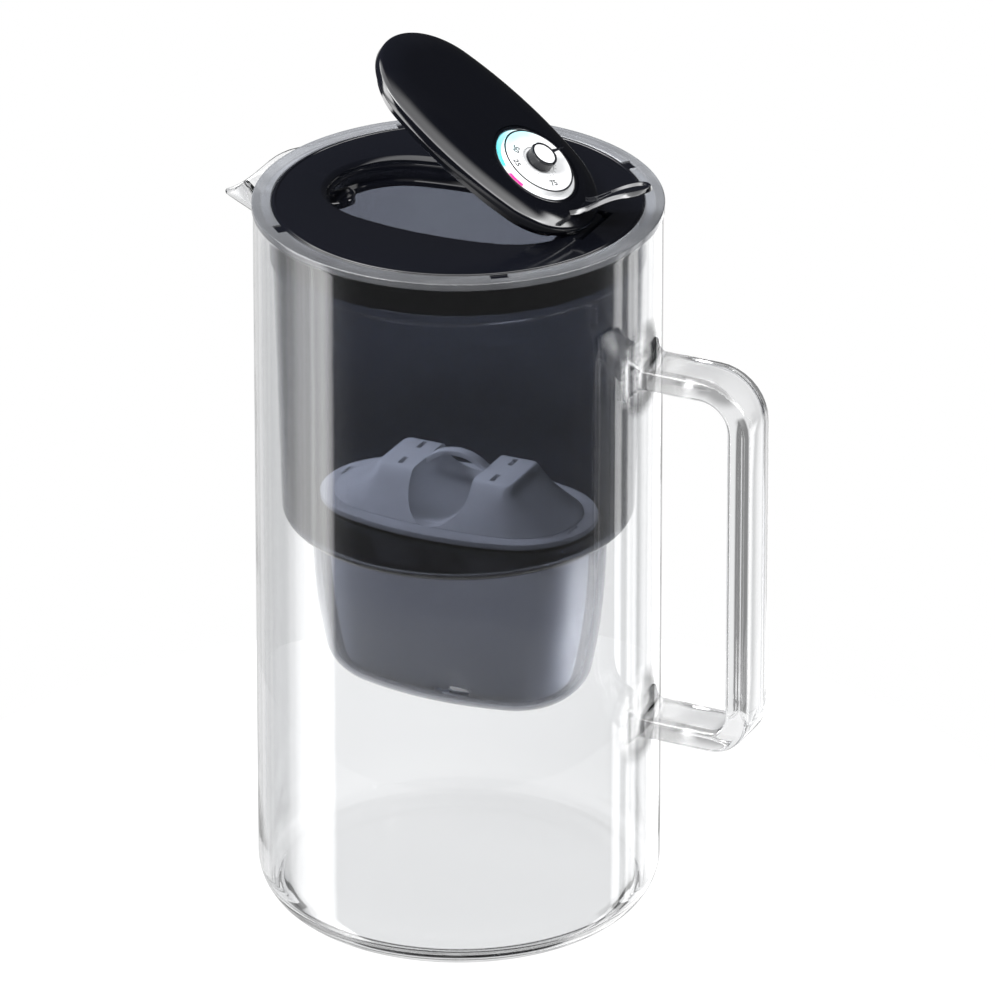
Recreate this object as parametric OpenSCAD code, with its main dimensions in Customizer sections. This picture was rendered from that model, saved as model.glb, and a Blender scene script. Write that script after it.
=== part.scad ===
// Glass water filter jug: a clear jug with a fused bar handle, a smoked hopper that hangs on its rim,
// an oval filter cartridge in the hopper's pocket, and a black lid whose flap carries a change dial.
// Origin: centre of the jug's foot. +Z is up, the handle is at +X and the spout at -X.
// The flap is drawn open by flap_open, the dial and the hinge turn with it.

/* [Glass jug] */
// Outer diameter of the jug
jug_d = 140; // [136:0.5:150]
// Height of the glass rim
jug_h = 260; // [240:1:290]
// Thickness of the glass wall
glass_wall = 2.8; // [2.2:0.1:3.2]
// Thickness of the glass in the floor
floor_t = 6.5; // [4:0.5:9]
// Outer radius between wall and foot
foot_r = 16; // [10:1:20]
// How far the spout's lip stands out from the wall
spout_reach = 18.5; // [15:0.5:22]
// How far the lip's edge lies below the rim
spout_drop = 12.5; // [9:0.5:14]
// Width of the spout where it leaves the wall
spout_w = 52; // [40:1:58]
// Height of the spout from its lowest point to the rim
spout_h = 24; // [21:1:30]

/* [Handle] */
// Width of the glass bar, across the jug
bar_w = 19; // [15:0.5:24]
// Thickness of the glass bar
bar_t = 8.4; // [6.8:0.2:9.6]
// Clear space between the wall and the upright bar
finger_gap = 35; // [28:1:42]
// Height of the top of the handle
handle_top = 217.3; // [205:0.1:225]
// Overall height of the handle
handle_h = 139.8; // [120:0.1:155]
// Inner radius of the upper bend
bend_top_r = 10; // [6:1:14]
// Inner radius of the lower bend
bend_low_r = 6; // [4:1:12]
// Rounding of the bar's edges
bar_edge = 2.4; // [1:0.1:2.8]
// How far the fused feet spread past the bar
foot_flare = 3; // [1:0.5:4]

/* [Hopper] */
// Thickness of the rim flange
flange_t = 2.6; // [2.2:0.1:3.4]
// How far the flange stands past the glass
flange_over = 0.45; // [0.2:0.05:1]
// Wall of the hopper
hopper_wall = 2; // [1.6:0.1:2.2]
// Gap between the glass and the hopper's collar
hopper_gap = 2.9; // [2.4:0.1:4]
// Depth of the collar that holds the lid
collar_h = 15; // [13:0.5:20]
// Step inwards below the collar
collar_step = 0.9; // [0.5:0.1:1.4]
// Height of the hopper's floor above the foot, inside
hopper_floor = 148; // [142:0.2:156]
// Draft of the hopper's wall in degrees
hopper_draft = 1.5; // [0.5:0.1:2]
// Rounding of the hopper's lower edge
hopper_r = 6; // [4:0.5:8]

/* [Cartridge pocket] */
// How far the pocket lies off the jug's axis, towards the handle
pocket_x = -0.2; // [-1:0.2:1.4]
// Half length of the pocket's mouth, outside
pocket_a = 53.2; // [51:0.2:54]
// Half width of the pocket's mouth, outside
pocket_b = 34; // [32:0.5:37]
// Depth of the pocket below the hopper's floor
pocket_h = 68; // [62:0.2:74]
// How much the pocket's half length tapers
pocket_taper = 8; // [7:0.2:8.8]
// Rounding of the pocket's lower edge
pocket_r = 13; // [10:0.5:14]

/* [Cartridge] */
// Height of the stand ribs on the pocket's floor
rib_h = 1.5; // [1:0.1:3]
// Half length of the cartridge's top flange
cap_a = 50; // [47:0.1:50.3]
// Half width of the cartridge's top flange
cap_b = 30.5; // [29.5:0.1:30.8]
// Thickness of the top flange
cap_t = 2.2; // [1.8:0.1:3]
// Height of the two inlet humps above the flange
hump_h = 15; // [12:0.5:18]
// Radius of the finger trough between the humps
trough_r = 11.3; // [9:0.1:12]
// Width of the finger strap over the trough
strap_w = 4; // [3:0.5:6]
// Wall of the cartridge
cartridge_wall = 1.6; // [1.2:0.1:2]

/* [Lid] */
// Width of the visible flange round the lid
flange_face = 6.6; // [6:0.1:8]
// Thickness of the lid's plate
plate_t = 2.3; // [2:0.1:2.4]
// Depth of the lid's skirt below its plate
skirt_h = 13; // [9:0.5:14]
// Depth of the collar round the pouring-in opening
mouth_h = 7; // [5.5:0.5:9]
// Gap round the closed flap
flap_gap = 2.5; // [1.5:0.1:3]
// Width of the ledge under the closed flap
ledge_w = 4.7; // [3.8:0.1:5.5]

/* [Flap] */
// Half length of the flap
flap_a = 46.5; // [44:0.5:48]
// Half width of the flap
flap_b = 28.2; // [27.4:0.1:29.5]
// Radius of the flap's ends
flap_r = 26; // [24:0.2:27]
// Height of the flap's upright edge
edge_h = 3.4; // [2.8:0.1:4]
// Rise of the flap's crown above its edge
crown_h = 3; // [2.4:0.1:3.6]
// Wall of the flap's shell
shell_t = 2; // [1.6:0.1:2.2]
// Depth of the plug below the flap's edge
plug_h = 3.6; // [3:0.1:4.4]
// How far the flap stands open in degrees
flap_open = 35.5; // [0:0.5:60]
// Width of the thumb tongue
tongue_w = 13; // [10:0.5:16]
// Height of the thumb tongue above the flap's edge plane
tongue_h = 27; // [20:1:30]

/* [Hinge] */
// Radius of the steel hinge pin
pin_r = 1.25; // [1:0.05:1.5]
// Radius of the hinge barrel
barrel_r = 3; // [2.6:0.1:3.2]
// Length of the hinge barrel
barrel_l = 22; // [18:1:24]

/* [Change dial] */
// Distance from the flap's centre to the dial's axis
dial_off = 19.4; // [18:0.2:21]
// Outer radius of the bezel
bezel_r = 17; // [15.5:0.1:17.4]
// Width of the bezel
bezel_w = 1.4; // [1:0.1:1.8]
// Radius of the raised number disc
face_r = 13.8; // [12:0.1:14.6]
// Height of the number disc above the colour ring
face_rise = 2.2; // [1:0.1:2.4]
// Radius of the knob
knob_r = 5; // [4:0.1:5.6]
// Height of the knob above the number disc
knob_h = 3.8; // [3:0.1:5]
// Number of clicks in one turn
clicks = 24; // [12:12:36]

/* [Hidden] */
$fn = 96;

// Clearances: loose between moulded pieces, run round a turning shaft, snug inside one assembly
loose = 0.3;
run = 0.06;
snug = 0.05;
over = 1;         // how far a cutter runs past what it cuts
ring_n = 60;      // points round each oval

// Jug
jug_r = jug_d / 2;
bore_r = jug_r - glass_wall;
heel_r = foot_r - glass_wall;

// Handle, its bar's centre lines
bar_x = jug_r + finger_gap + bar_t / 2;
bar_z1 = handle_top - bar_t / 2;
bar_z0 = handle_top - handle_h + bar_t / 2;

// Hopper
flange_z = jug_h + flange_t;
flange_r = jug_r + flange_over;
collar_r = bore_r - hopper_gap;
collar_z = jug_h - collar_h;
lid_r = flange_r - flange_face - loose;
seat_r = lid_r + loose;
seat_z = flange_z - plate_t;
wall_r = collar_r - collar_step;
under_z = hopper_floor - hopper_wall;
low_r = wall_r - tan(hopper_draft) * (collar_z - under_z);
guide_h = 1.8;    // locating ring under the flange
guide_w = 1.6;
edge = 0.5;       // chamfer on moulded edges

// Pocket, as a function of depth below the hopper's floor
pocket_end = 3;   // how much the end radius is smaller than the half width
pocket_z = hopper_floor - pocket_h;
pocket_bow = 2.4; // how sharply the walls draw in towards the bottom
function pocket_in(d) = pocket_taper * pow(d / pocket_h, pocket_bow);
window_x = 12.9;  // outlet windows, off the pocket's centre and above its lowest point
window_z = 13.5;
window_tilt = 12; // slope of the wall there
window_sag = 0.8; // how far the wall has curved in at window_x
dish_r = 47;      // ball that cuts the window's dish
dish_d = 0.6;
slit_x = 0.6;     // slit through the dish, off its centre
slit_z = -2.4;
slit_w = 8;
slit_h = 2.8;

// Cartridge
body_in = hopper_wall + 4;              // body lies this far inside the pocket's outside
body_z = pocket_z + hopper_wall + rib_h;
cap_z = hopper_floor + 0.2;
body_r = 6;                             // rounding of the body's lower edge
drains = 3;                             // slots each side of the middle one
drain_pitch = 8;
drain_w = 2;
drain_l = 22;
cap_end = 3;                            // how much the cap's end radius is smaller than cap_b
hump_a = cap_a - 5;
hump_b = cap_b - 6;
hump_top_a = 25;
hump_top_b = 10;
slot_x = 17.4;
slot_y = 7.2;
slot_l = 5;
slot_w = 1.4;
vent_x = 45.8;
vent_y = 5.5;
vent_l = 7;
vent_d = 1;
strap_t = 2;
strap_rise = 5.4;                       // strap's crown above the humps
seal_h = 3;
seal_below = 1;                         // under the cap's flange
screen_t = 0.8;
head_room = 5.5;                        // between the inlet screen and the cap
media_h = cap_z - body_z - cartridge_wall - 2 * screen_t - head_room;
fill_gap = 0.4;                         // round the fill and the inlet screen

// Lid
skirt_r = collar_r - hopper_wall - loose;
skirt_t = 1.8;
tab_w = 5.6;
tab_l = 3.1;
tab_at = [52, 132, -132, -52];
lug_w = 3;
lug_h = 8;
lug_z = 1.4;                            // lugs start this far above the skirt's lower edge
lug_t = 1;
half_gap = loose / 2;
lug_shift = 4;                          // lugs sit this many degrees from the tabs
groove_z = collar_z + 2;                // lower end of the grooves for the lugs
groove_gap = 0.2;                       // beyond each lug
recess_z = seat_z - loose;
ledge_t = 1.8;
mouth_t = 1.6;
mouth_z = recess_z - mouth_h;
flap_x = 0.3;                           // centre of the flap, closed
hinge_room = 5.8;                       // between the opening's straight end and the flap's tip
mouth_end = flap_x + flap_a - hinge_room;
catch_r = 8.5;
catch_t = 1.8;
catch_rim = 1.4;
catch_in = 3.5;                         // its centre lies this far behind the collar

// Flap, drawn closed and then turned
flap_z = recess_z + 0.6;                // underside of the flap's edge
edge_z = flap_z + edge_h;
crown_w = 11;                           // width of the crown's shoulder
plug_in = 2.8;
plug_t = 1.6;
base_t = 1.4;                           // floor and lip of the flap's base
hinge_x = flap_x + flap_a + 0.2;
hinge_z = recess_z - 1;
web_l = 5;
boss_l = web_l + 1;
tub_end = flap_x + flap_a + flap_gap + mouth_t;
heel_l = barrel_r + 2.6;                // room behind the hinge for the flap's heel

// Dial
dial_x = flap_x + dial_off;
well_z = edge_z + 0.9;
well_t = 1.6;
ring_t = 1.4;
face_z = well_z + ring_t + face_rise;
shaft_r = 2.2;
drive_r = 1.6;
wheel_r = 7;
tooth_h = 0.8;
wheel_t = 1.2;
wheel_z = well_z - well_t - 0.2 - wheel_t;
washer_t = 0.4;
screw_r = 0.9;
head_r = 2.8;
head_t = 1.2;
screw_l = 5;
cross_l = 3.2;                          // cross slot in the screw's head
cross_w = 0.6;
bezel_lip = 0.5;                        // how far the bezel stands above the colour ring
face_lap = 2;                           // how far the disc lies over the colour ring
dish_t = 0.5;
cap_h = 0.4;
mark_r = knob_r * 0.83;                 // pointer's ring and tick
ring_r = knob_r - 0.1;
mark_h = 0.5;
mark_l = 7;
mark_w = 1.3;
mark_tip = 0.3;
mark_a = 77;
spring_x = wheel_r + loose;
spring_l = 7;
spring_t = 0.6;
spring_foot = 3;
nib_in = 0.25;                          // nib's centre, towards the wheel
nib_r = 0.45;

// One point of an oval made of four tangent arcs, by the direction th of its normal:
// a and b are the half axes, r the radius of the ends
function side_r(a, b, r) = (a * a - 2 * a * r + b * b) / (2 * (b - r));
function oval_pt(a, b, r, th) =
    let (R = side_r(a, b, r), tt = atan2(R - b, a - r), c = cos(th), s = sin(th),
         q = atan2(abs(s), abs(c)), sx = c < 0 ? -1 : 1, sy = s < 0 ? -1 : 1)
    q < tt ? [sx * (a - r + r * cos(q)), sy * r * sin(q)]
           : [sx * R * cos(q), sy * (R * sin(q) - R + b)];
function oval(a, b, r, inset = 0) =
    [for (i = [0:ring_n - 1]) oval_pt(a - inset, b - inset, r - inset, (i + 0.5) * 360 / ring_n)];
// Rounded rectangle with its points at the same directions as an oval's
function oblong(a, b, r) =
    [for (i = [0:ring_n - 1]) let (th = (i + 0.5) * 360 / ring_n)
        [sign(cos(th)) * (a - r) + r * cos(th), sign(sin(th)) * (b - r) + r * sin(th)]];
function at_z(pts, z) = [for (p = pts) [p[0], p[1], z]];

// Closed solid through rings of equal length, stacked upwards, each counterclockwise from above
module loft(rings) {
    n = len(rings[0]);
    m = len(rings);
    sides = [for (i = [0:m - 2]) for (j = [0:n - 1]) let (k = (j + 1) % n)
        each [[i * n + j, i * n + n + j, i * n + n + k], [i * n + j, i * n + n + k, i * n + k]]];
    ends = [[for (j = [0:n - 1]) j], [for (j = [n - 1:-1:0]) (m - 1) * n + j]];
    polyhedron(points = [for (ring = rings) each ring], faces = concat(sides, ends));
}

module prism(pts, z0, z1) translate([0, 0, z0]) linear_extrude(z1 - z0) polygon(pts);

// Flap outline, inset from its edge
function flap_oval(inset) = oval(flap_a, flap_b, flap_r, inset);

// Turns closed flap pieces to the open angle about the hinge
module opened() {
    translate([hinge_x, 0, hinge_z]) rotate([0, flap_open, 0]) translate([-hinge_x, 0, -hinge_z])
        children();
}
module on_dial() opened() translate([dial_x, 0, 0]) children();

// Arc of points, for profiles
function arc(cx, cy, r, a0, a1, n = 8) =
    [for (i = [0:n]) let (t = a0 + (a1 - a0) * i / n) [cx + r * cos(t), cy + r * sin(t)]];

// ---------------------------------------------------------------- glass

// Spout sections from inside the wall, u = 0, to the lip, u = 1: U shapes open at the top.
// Width and height ease over from the wall's to the lip's, and the lip's end is round
spout_in = glass_wall + 1.2;
spout_steps = 12;
lip_w = 4.8;      // half width of the lip
lip_t = 1.6;      // depth of glass at the lip's end
lip_at = 0.85;    // where the lip's round end starts
fall_at = 0.25;   // where the edge starts to fall
spout_vee = 0.4;  // 0 for round sections, more for sections nearer a V
function ease(v) = (1 - cos(180 * min(max(v, 0), 1))) / 2;
function spout_half(u) =
    (lip_w + (spout_w / 2 - lip_w) * (1 - ease(u / lip_at)))
    * (u < lip_at ? 1 : sqrt(1.04 - pow((u - lip_at) / (1 - lip_at), 2)));
function spout_top(u) = jug_h - 0.4 - spout_drop * ease(pow(max(0, u - fall_at) / (1 - fall_at), 1.15));
function spout_low(u) = jug_h - spout_h + (spout_h - spout_drop - lip_t) * pow(u, 0.9);
function spout_section(u, inset, lift) =
    let (v = min(u, 1), n = 14, x = -(jug_r - spout_in) - (spout_reach + spout_in) * u,
         half = max(0.4, spout_half(v) - inset), top = spout_top(v),
         deep = max(0.2, top - spout_low(v) - inset))
    concat([for (i = [0:n]) let (c = cos(180 * i / n), s = sin(180 * i / n))
               [x, half * c * pow(abs(c), spout_vee), top - deep * s]],
           lift > 0 ? [[x, -half, top + lift], [x, half, top + lift]] : []);
module spout(inset, lift, reach) {
    loft([for (i = [0:spout_steps]) spout_section(reach * i / spout_steps, inset, lift)]);
}

module glass_jug() color([0.86, 0.9, 0.92, 0.35]) {
    rim = glass_wall / 2;
    difference() {
        union() {
            rotate_extrude() polygon(concat(
                [[0, 0]], arc(jug_r - foot_r, foot_r, foot_r, -90, 0),
                arc(jug_r - rim, jug_h - rim, rim, 0, 180),
                arc(bore_r - heel_r, floor_t + heel_r, heel_r, 0, -90), [[0, floor_t]]));
            difference() {
                spout(0, 0, 1);
                translate([0, 0, floor_t]) cylinder(r = bore_r, h = jug_h);
            }
        }
        spout(glass_wall * 0.8, 2 * flange_t + spout_drop, 0.98);
    }
}

// Section of the handle's bar, its thickness along X
module bar_section(grow = 0) {
    w = bar_w + 2 * grow;
    t = bar_t + 2 * grow;
    for (x = [-1, 1], y = [-1, 1]) translate([x * (t / 2 - bar_edge), y * (w / 2 - bar_edge)])
        circle(bar_edge);
    square([t - 2 * bar_edge, w], center = true);
    square([t, w - 2 * bar_edge], center = true);
}
module bend(r) rotate([90, 0, 0]) rotate_extrude(angle = 90)
    translate([r + bar_t / 2, 0]) bar_section();

module glass_handle() color([0.86, 0.9, 0.92, 0.35]) {
    foot_t = 4;                          // length of each flared foot
    c1 = bend_top_r + bar_t / 2;
    c0 = bend_low_r + bar_t / 2;
    start = jug_r - bar_w;
    difference() {
        union() {
            translate([start, 0, bar_z1]) rotate([0, 90, 0])
                linear_extrude(bar_x - c1 - start) bar_section();
            translate([bar_x - c1, 0, bar_z1 - c1]) bend(bend_top_r);
            translate([bar_x, 0, bar_z0 + c0])
                linear_extrude(bar_z1 - c1 - bar_z0 - c0) bar_section();
            translate([bar_x - c0, 0, bar_z0 + c0]) mirror([0, 0, 1]) bend(bend_low_r);
            translate([start, 0, bar_z0]) rotate([0, 90, 0])
                linear_extrude(bar_x - c0 - start) bar_section();
            for (z = [bar_z0, bar_z1]) hull() {
                translate([start, 0, z]) rotate([0, 90, 0])
                    linear_extrude(jug_r - start + 0.6, $fn = 32) bar_section(foot_flare, $fn = 32);
                translate([start, 0, z]) rotate([0, 90, 0])
                    linear_extrude(jug_r - start + foot_t, $fn = 32) bar_section($fn = 32);
            }
        }
        cylinder(r = jug_r, h = jug_h);
    }
}

// ---------------------------------------------------------------- hopper

// Rings of the pocket or of what follows its walls: in is the distance inside the pocket's outside,
// low the height of the underside, top the height of the upper end and r the rounding below
bends = 4;        // rings in the rounding
walls = 3;        // rings in the wall
function pocket_ring(z, in) =
    let (d = max(0, hopper_floor - z), t = pocket_in(d) + in, b = pocket_b - t)
    at_z([for (p = oval(pocket_a - t, b, b - pocket_end)) [p[0] + pocket_x, p[1]]], z);
function pocket_rings(low, top, in, r) = concat(
    [for (i = [bends:-1:1]) let (t = 90 * i / bends)
        pocket_ring(low + r * (1 - sin(t)), in + r * (1 - cos(t)))],
    [for (i = [0:walls]) pocket_ring(low + r + (top - low - r) * i / walls, in)]);

module hopper_outside() rotate_extrude() polygon(concat(
    [[0, under_z]], arc(low_r - hopper_r, under_z + hopper_r, hopper_r, -90, 0),
    [[wall_r, collar_z - 1], [collar_r, collar_z], [collar_r, jug_h - guide_h],
     [bore_r - loose - guide_w, jug_h - guide_h], [bore_r - loose, jug_h - guide_h + edge],
     [bore_r - loose, jug_h], [flange_r, jug_h], [flange_r, flange_z - edge],
     [flange_r - edge, flange_z], [0, flange_z]]));

module hopper_inside() {
    t = hopper_wall;
    rotate_extrude() polygon(concat(
        [[0, hopper_floor]], arc(low_r - hopper_r, under_z + hopper_r, hopper_r - t, -90, 0),
        [[wall_r - t, collar_z - 1], [collar_r - t, collar_z], [collar_r - t, seat_z],
         [seat_r, seat_z], [seat_r, flange_z + over], [0, flange_z + over]]));
}

// Small parts that sit round the lid's edge, at each tab
module each_tab(shift = 0) for (a = tab_at) rotate([0, 0, a + shift]) children();

module hopper() color([0.13, 0.15, 0.2, 0.6]) {
    difference() {
        union() {
            hopper_outside();
            loft(pocket_rings(pocket_z, hopper_floor - hopper_wall / 2, 0, pocket_r));
        }
        hopper_inside();
        loft(concat(pocket_rings(pocket_z + hopper_wall, hopper_floor, hopper_wall,
                                 pocket_r - hopper_wall),
                    [pocket_ring(hopper_floor + over, hopper_wall)]));
        // Slots in the flange for the lid's tabs, and grooves for the lugs on its skirt
        each_tab() translate([lid_r - over, -tab_w / 2 - loose, seat_z])
            cube([over + tab_l + loose, tab_w + 2 * loose, plate_t + over]);
        each_tab(-lug_shift) translate([skirt_r - over, -lug_w / 2 - loose, groove_z])
            cube([over + loose + lug_t + groove_gap, lug_w + 2 * loose, collar_h]);
        // Outlet windows low in the pocket's long sides
        outlet_window();
        translate([2 * pocket_x, 0, 0]) rotate([0, 0, 180]) outlet_window();
    }
    // Ribs that the cartridge stands on
    rib_l = 2 * (pocket_b - pocket_in(pocket_h) - pocket_r);
    for (x = [-1, 0, 1])
        translate([pocket_x + x * pocket_a / 2 - rib_h / 2, -rib_l / 2, pocket_z + hopper_wall / 2])
        cube([rib_h, rib_l, hopper_wall / 2 + rib_h]);
}

// A shallow dish low in the pocket's long side, with a slit through the lower half of it
module outlet_window() {
    side = pocket_b - pocket_in(pocket_h - window_z) - window_sag;
    half = (slit_w - slit_h) / 2;
    translate([pocket_x + window_x, -side, pocket_z + window_z]) rotate([window_tilt, 0, 0]) {
        translate([0, dish_d - dish_r, 0]) sphere(r = dish_r);
        translate([slit_x, hopper_wall + over, slit_z]) rotate([90, 0, 0]) {
            translate([-half, -slit_h / 2, 0]) cube([2 * half, slit_h, 2 * hopper_wall]);
            for (x = [-half, half]) translate([x, 0, 0]) cylinder(r = slit_h / 2, h = 2 * hopper_wall);
        }
    }
}

// ---------------------------------------------------------------- cartridge

module cartridge_body() color([0.35, 0.37, 0.42]) difference() {
    loft(pocket_rings(body_z, cap_z, body_in, body_r));
    loft(concat(pocket_rings(body_z + cartridge_wall, cap_z, body_in + cartridge_wall,
                             body_r - cartridge_wall),
                [pocket_ring(cap_z + over, body_in + cartridge_wall)]));
    // Outlet slots in the floor
    for (i = [-drains:drains])
        translate([pocket_x + i * drain_pitch - drain_w / 2, -drain_l / 2, body_z - over])
            cube([drain_w, drain_l, cartridge_wall + 2 * over]);
}

function cap_oval(a, b, end) = [for (p = oval(a, b, b - end)) [p[0] + pocket_x, p[1]]];
// Hump: an oval foot, then rounded rectangles that roll over to the flat top.
// Each roll is [beyond the top along X, along Y, corner radius, below the top]
hump_rolls = [[0.6, 3.6, 3, 2.2], [0, 1.4, 2.6, 0.8], [-1, -0.6, 2.4, 0]];
function hump_rings(in, z0) = concat(
    [for (z = [z0, cap_z + cap_t + 0.4 - in]) at_z(cap_oval(hump_a - in, hump_b - in, 2), z)],
    [for (k = hump_rolls) at_z(
        [for (p = oblong(hump_top_a + k[0] - in, hump_top_b + k[1] - in, k[2])) [p[0] + pocket_x, p[1]]],
        cap_z + cap_t + hump_h - k[3] - in)]);

module trough(r) translate([pocket_x, 0, cap_z + cap_t + trough_r]) {
    rotate([90, 0, 0]) cylinder(r = r, h = 2 * cap_b, center = true);
    translate([-r, -cap_b, 0]) cube([2 * r, 2 * cap_b, hump_h]);
}

module cartridge_cap() color([0.42, 0.44, 0.49]) {
    t = cartridge_wall;
    top = cap_z + cap_t;
    difference() {
        union() {
            prism(cap_oval(cap_a, cap_b, cap_end), cap_z, top);
            loft(hump_rings(0, cap_z + cap_t / 2));
        }
        difference() {
            loft(hump_rings(t, cap_z - over));
            trough(trough_r + t);
        }
        trough(trough_r);
        // Inlet slots in the humps' tops
        for (x = [-slot_x, slot_x], y = [-slot_y, slot_y])
            translate([pocket_x + x - slot_w / 2, y - slot_l / 2, top])
                cube([slot_w, slot_l, hump_h + over]);
        // Vent slots at the flange's ends
        for (side = [-1, 1])
            translate([pocket_x + side * vent_x - slot_w / 2, -side * vent_y - vent_l / 2, top - vent_d])
                cube([slot_w, vent_l, hump_h]);
    }
    // Arched finger strap between the humps, its ends inside their walls
    half = trough_r + t / 2;
    sink = 0.8;
    strap_r = (half * half + strap_rise * strap_rise) / (2 * strap_rise);
    intersection() {
        translate([pocket_x, 0, top + hump_h + strap_rise - strap_r - sink]) rotate([90, 0, 0])
            difference() {
                cylinder(r = strap_r, h = strap_w, center = true);
                cylinder(r = strap_r - strap_t, h = strap_w + over, center = true);
            }
        translate([pocket_x - half, -strap_w, top + hump_h / 2])
            cube([2 * half, 2 * strap_w, hump_h + strap_rise]);
    }
}

module cartridge_seal() color([0.08, 0.08, 0.09]) {
    low = cap_z - seal_h - seal_below;
    difference() {
        loft([pocket_ring(low, hopper_wall + 2 * loose), pocket_ring(low + seal_h, hopper_wall + loose)]);
        loft([pocket_ring(low - over, body_in), pocket_ring(low, body_in),
              pocket_ring(low + seal_h, body_in), pocket_ring(low + seal_h + over, body_in)]);
    }
}

// Discs and fill inside the cartridge, following its walls
module inside_body(z0, z1) loft([for (z = [z0, z1]) pocket_ring(z, body_in + cartridge_wall + fill_gap)]);

module outlet_screen() color([0.75, 0.76, 0.78])
    loft([for (z = [body_z + cartridge_wall, body_z + cartridge_wall + screen_t])
        pocket_ring(z, body_in + body_r)]);
module filter_media() color([0.12, 0.12, 0.13]) {
    z0 = body_z + cartridge_wall + screen_t;
    inside = body_in + cartridge_wall + fill_gap;
    loft(pocket_rings(z0, z0 + media_h, inside, body_r));
}
module inlet_screen() color([0.75, 0.76, 0.78]) {
    z0 = body_z + cartridge_wall + screen_t + media_h;
    inside_body(z0, z0 + screen_t);
}

// ---------------------------------------------------------------- lid

function recess_oval(in) = [for (p = flap_oval(in - flap_gap)) [p[0] + flap_x, p[1]]];
mouth_in = ledge_w;                      // opening's distance inside the recess
module up_to(x_end, z0, z1) translate([-jug_r, -jug_r, z0]) cube([jug_r + x_end, 2 * jug_r, z1 - z0]);

module lid() color([0.06, 0.065, 0.08]) {
    boss_y = barrel_l / 2 + loose;
    difference() {
        union() {
            translate([0, 0, seat_z]) rotate_extrude() polygon([[0, 0], [lid_r, 0],
                [lid_r, plate_t - edge], [lid_r - edge, plate_t], [0, plate_t]]);
            translate([0, 0, seat_z - skirt_h]) difference() {
                cylinder(r = skirt_r, h = skirt_h + over);
                translate([0, 0, -over]) cylinder(r = skirt_r - skirt_t, h = skirt_h + 3 * over);
            }
            // Tub that carries the ledge, and the collar round the opening
            prism(recess_oval(-mouth_t), recess_z - ledge_t, seat_z + over);
            intersection() {
                prism(recess_oval(mouth_in - mouth_t), mouth_z, recess_z);
                up_to(mouth_end + mouth_t, mouth_z, recess_z);
            }
            // Ribs between collar and skirt
            for (a = [45:45:315]) rotate([0, 0, a])
                translate([0, -mouth_t / 2, seat_z - mouth_h + over])
                    cube([skirt_r - over / 2, mouth_t, mouth_h]);
            // Tabs in the flange's slots and lugs in the collar's grooves
            each_tab() translate([lid_r - over, -tab_w / 2, seat_z])
                cube([over + tab_l, tab_w, plate_t - edge]);
            each_tab(-lug_shift) translate([skirt_r - over, -lug_w / 2, seat_z - skirt_h + lug_z])
                cube([over + lug_t + half_gap, lug_w, lug_h]);
            // Bosses that hold the hinge pin
            for (side = [-1, 1]) translate([hinge_x, side * (boss_y + boss_l / 2), 0]) {
                translate([0, 0, hinge_z]) rotate([90, 0, 0])
                    cylinder(r = barrel_r, h = boss_l, center = true);
                translate([-barrel_r, -boss_l / 2, hinge_z])
                    cube([2 * barrel_r, boss_l, seat_z - hinge_z]);
            }
        }
        prism(recess_oval(0), recess_z, flange_z + over);
        intersection() {
            prism(recess_oval(mouth_in), mouth_z - over, flange_z);
            up_to(mouth_end, mouth_z - over, flange_z);
        }
        // Pocket for the hinge barrel, open above and below, and room for the flap's heel
        translate([hinge_x - barrel_r - loose, -boss_y, hinge_z - 2 * barrel_r])
            cube([tub_end - hinge_x + barrel_r + 2 * loose, 2 * boss_y, 4 * barrel_r]);
        translate([hinge_x, -boss_y - 1, recess_z]) cube([heel_l, 2 * boss_y + 2, plate_t + over]);
        translate([hinge_x, 0, hinge_z]) rotate([90, 0, 0])
            cylinder(r = pin_r + snug / 2, h = barrel_l + 2 * web_l + 2, center = true);
    }
    // Dished half-round catch at the spout's end of the opening
    intersection() {
        translate([flap_x - flap_a + mouth_in - flap_gap - catch_in, 0, mouth_z]) difference() {
            cylinder(r = catch_r, h = catch_t);
            translate([0, 0, catch_t / 2])
                cylinder(r1 = catch_r - 2 * catch_rim, r2 = catch_r - catch_rim, h = catch_t / 2 + over);
        }
        prism(recess_oval(mouth_in - mouth_t / 2), mouth_z, recess_z);
    }
}

module hinge_pin() color([0.8, 0.8, 0.82])
    translate([hinge_x, 0, hinge_z]) rotate([90, 0, 0])
        cylinder(r = pin_r, h = barrel_l + 2 * web_l + 2 * loose, center = true);

// ---------------------------------------------------------------- flap

function flap_ring(inset, z) = at_z([for (p = flap_oval(inset)) [p[0] + flap_x, p[1]]], z);
// Crown: upright edge, small roll, then a shoulder that levels out
function crown(u) = crown_h * (1 - pow(1 - u / crown_w, 2));
function crown_rings() = concat(
    [flap_ring(0, flap_z + 0.4), flap_ring(0, edge_z - 0.9), flap_ring(0.2, edge_z - 0.3)],
    [for (u = [0.8, 2, 3.5, 5, 7, 9, crown_w]) flap_ring(u, edge_z + crown(u))]);

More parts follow.
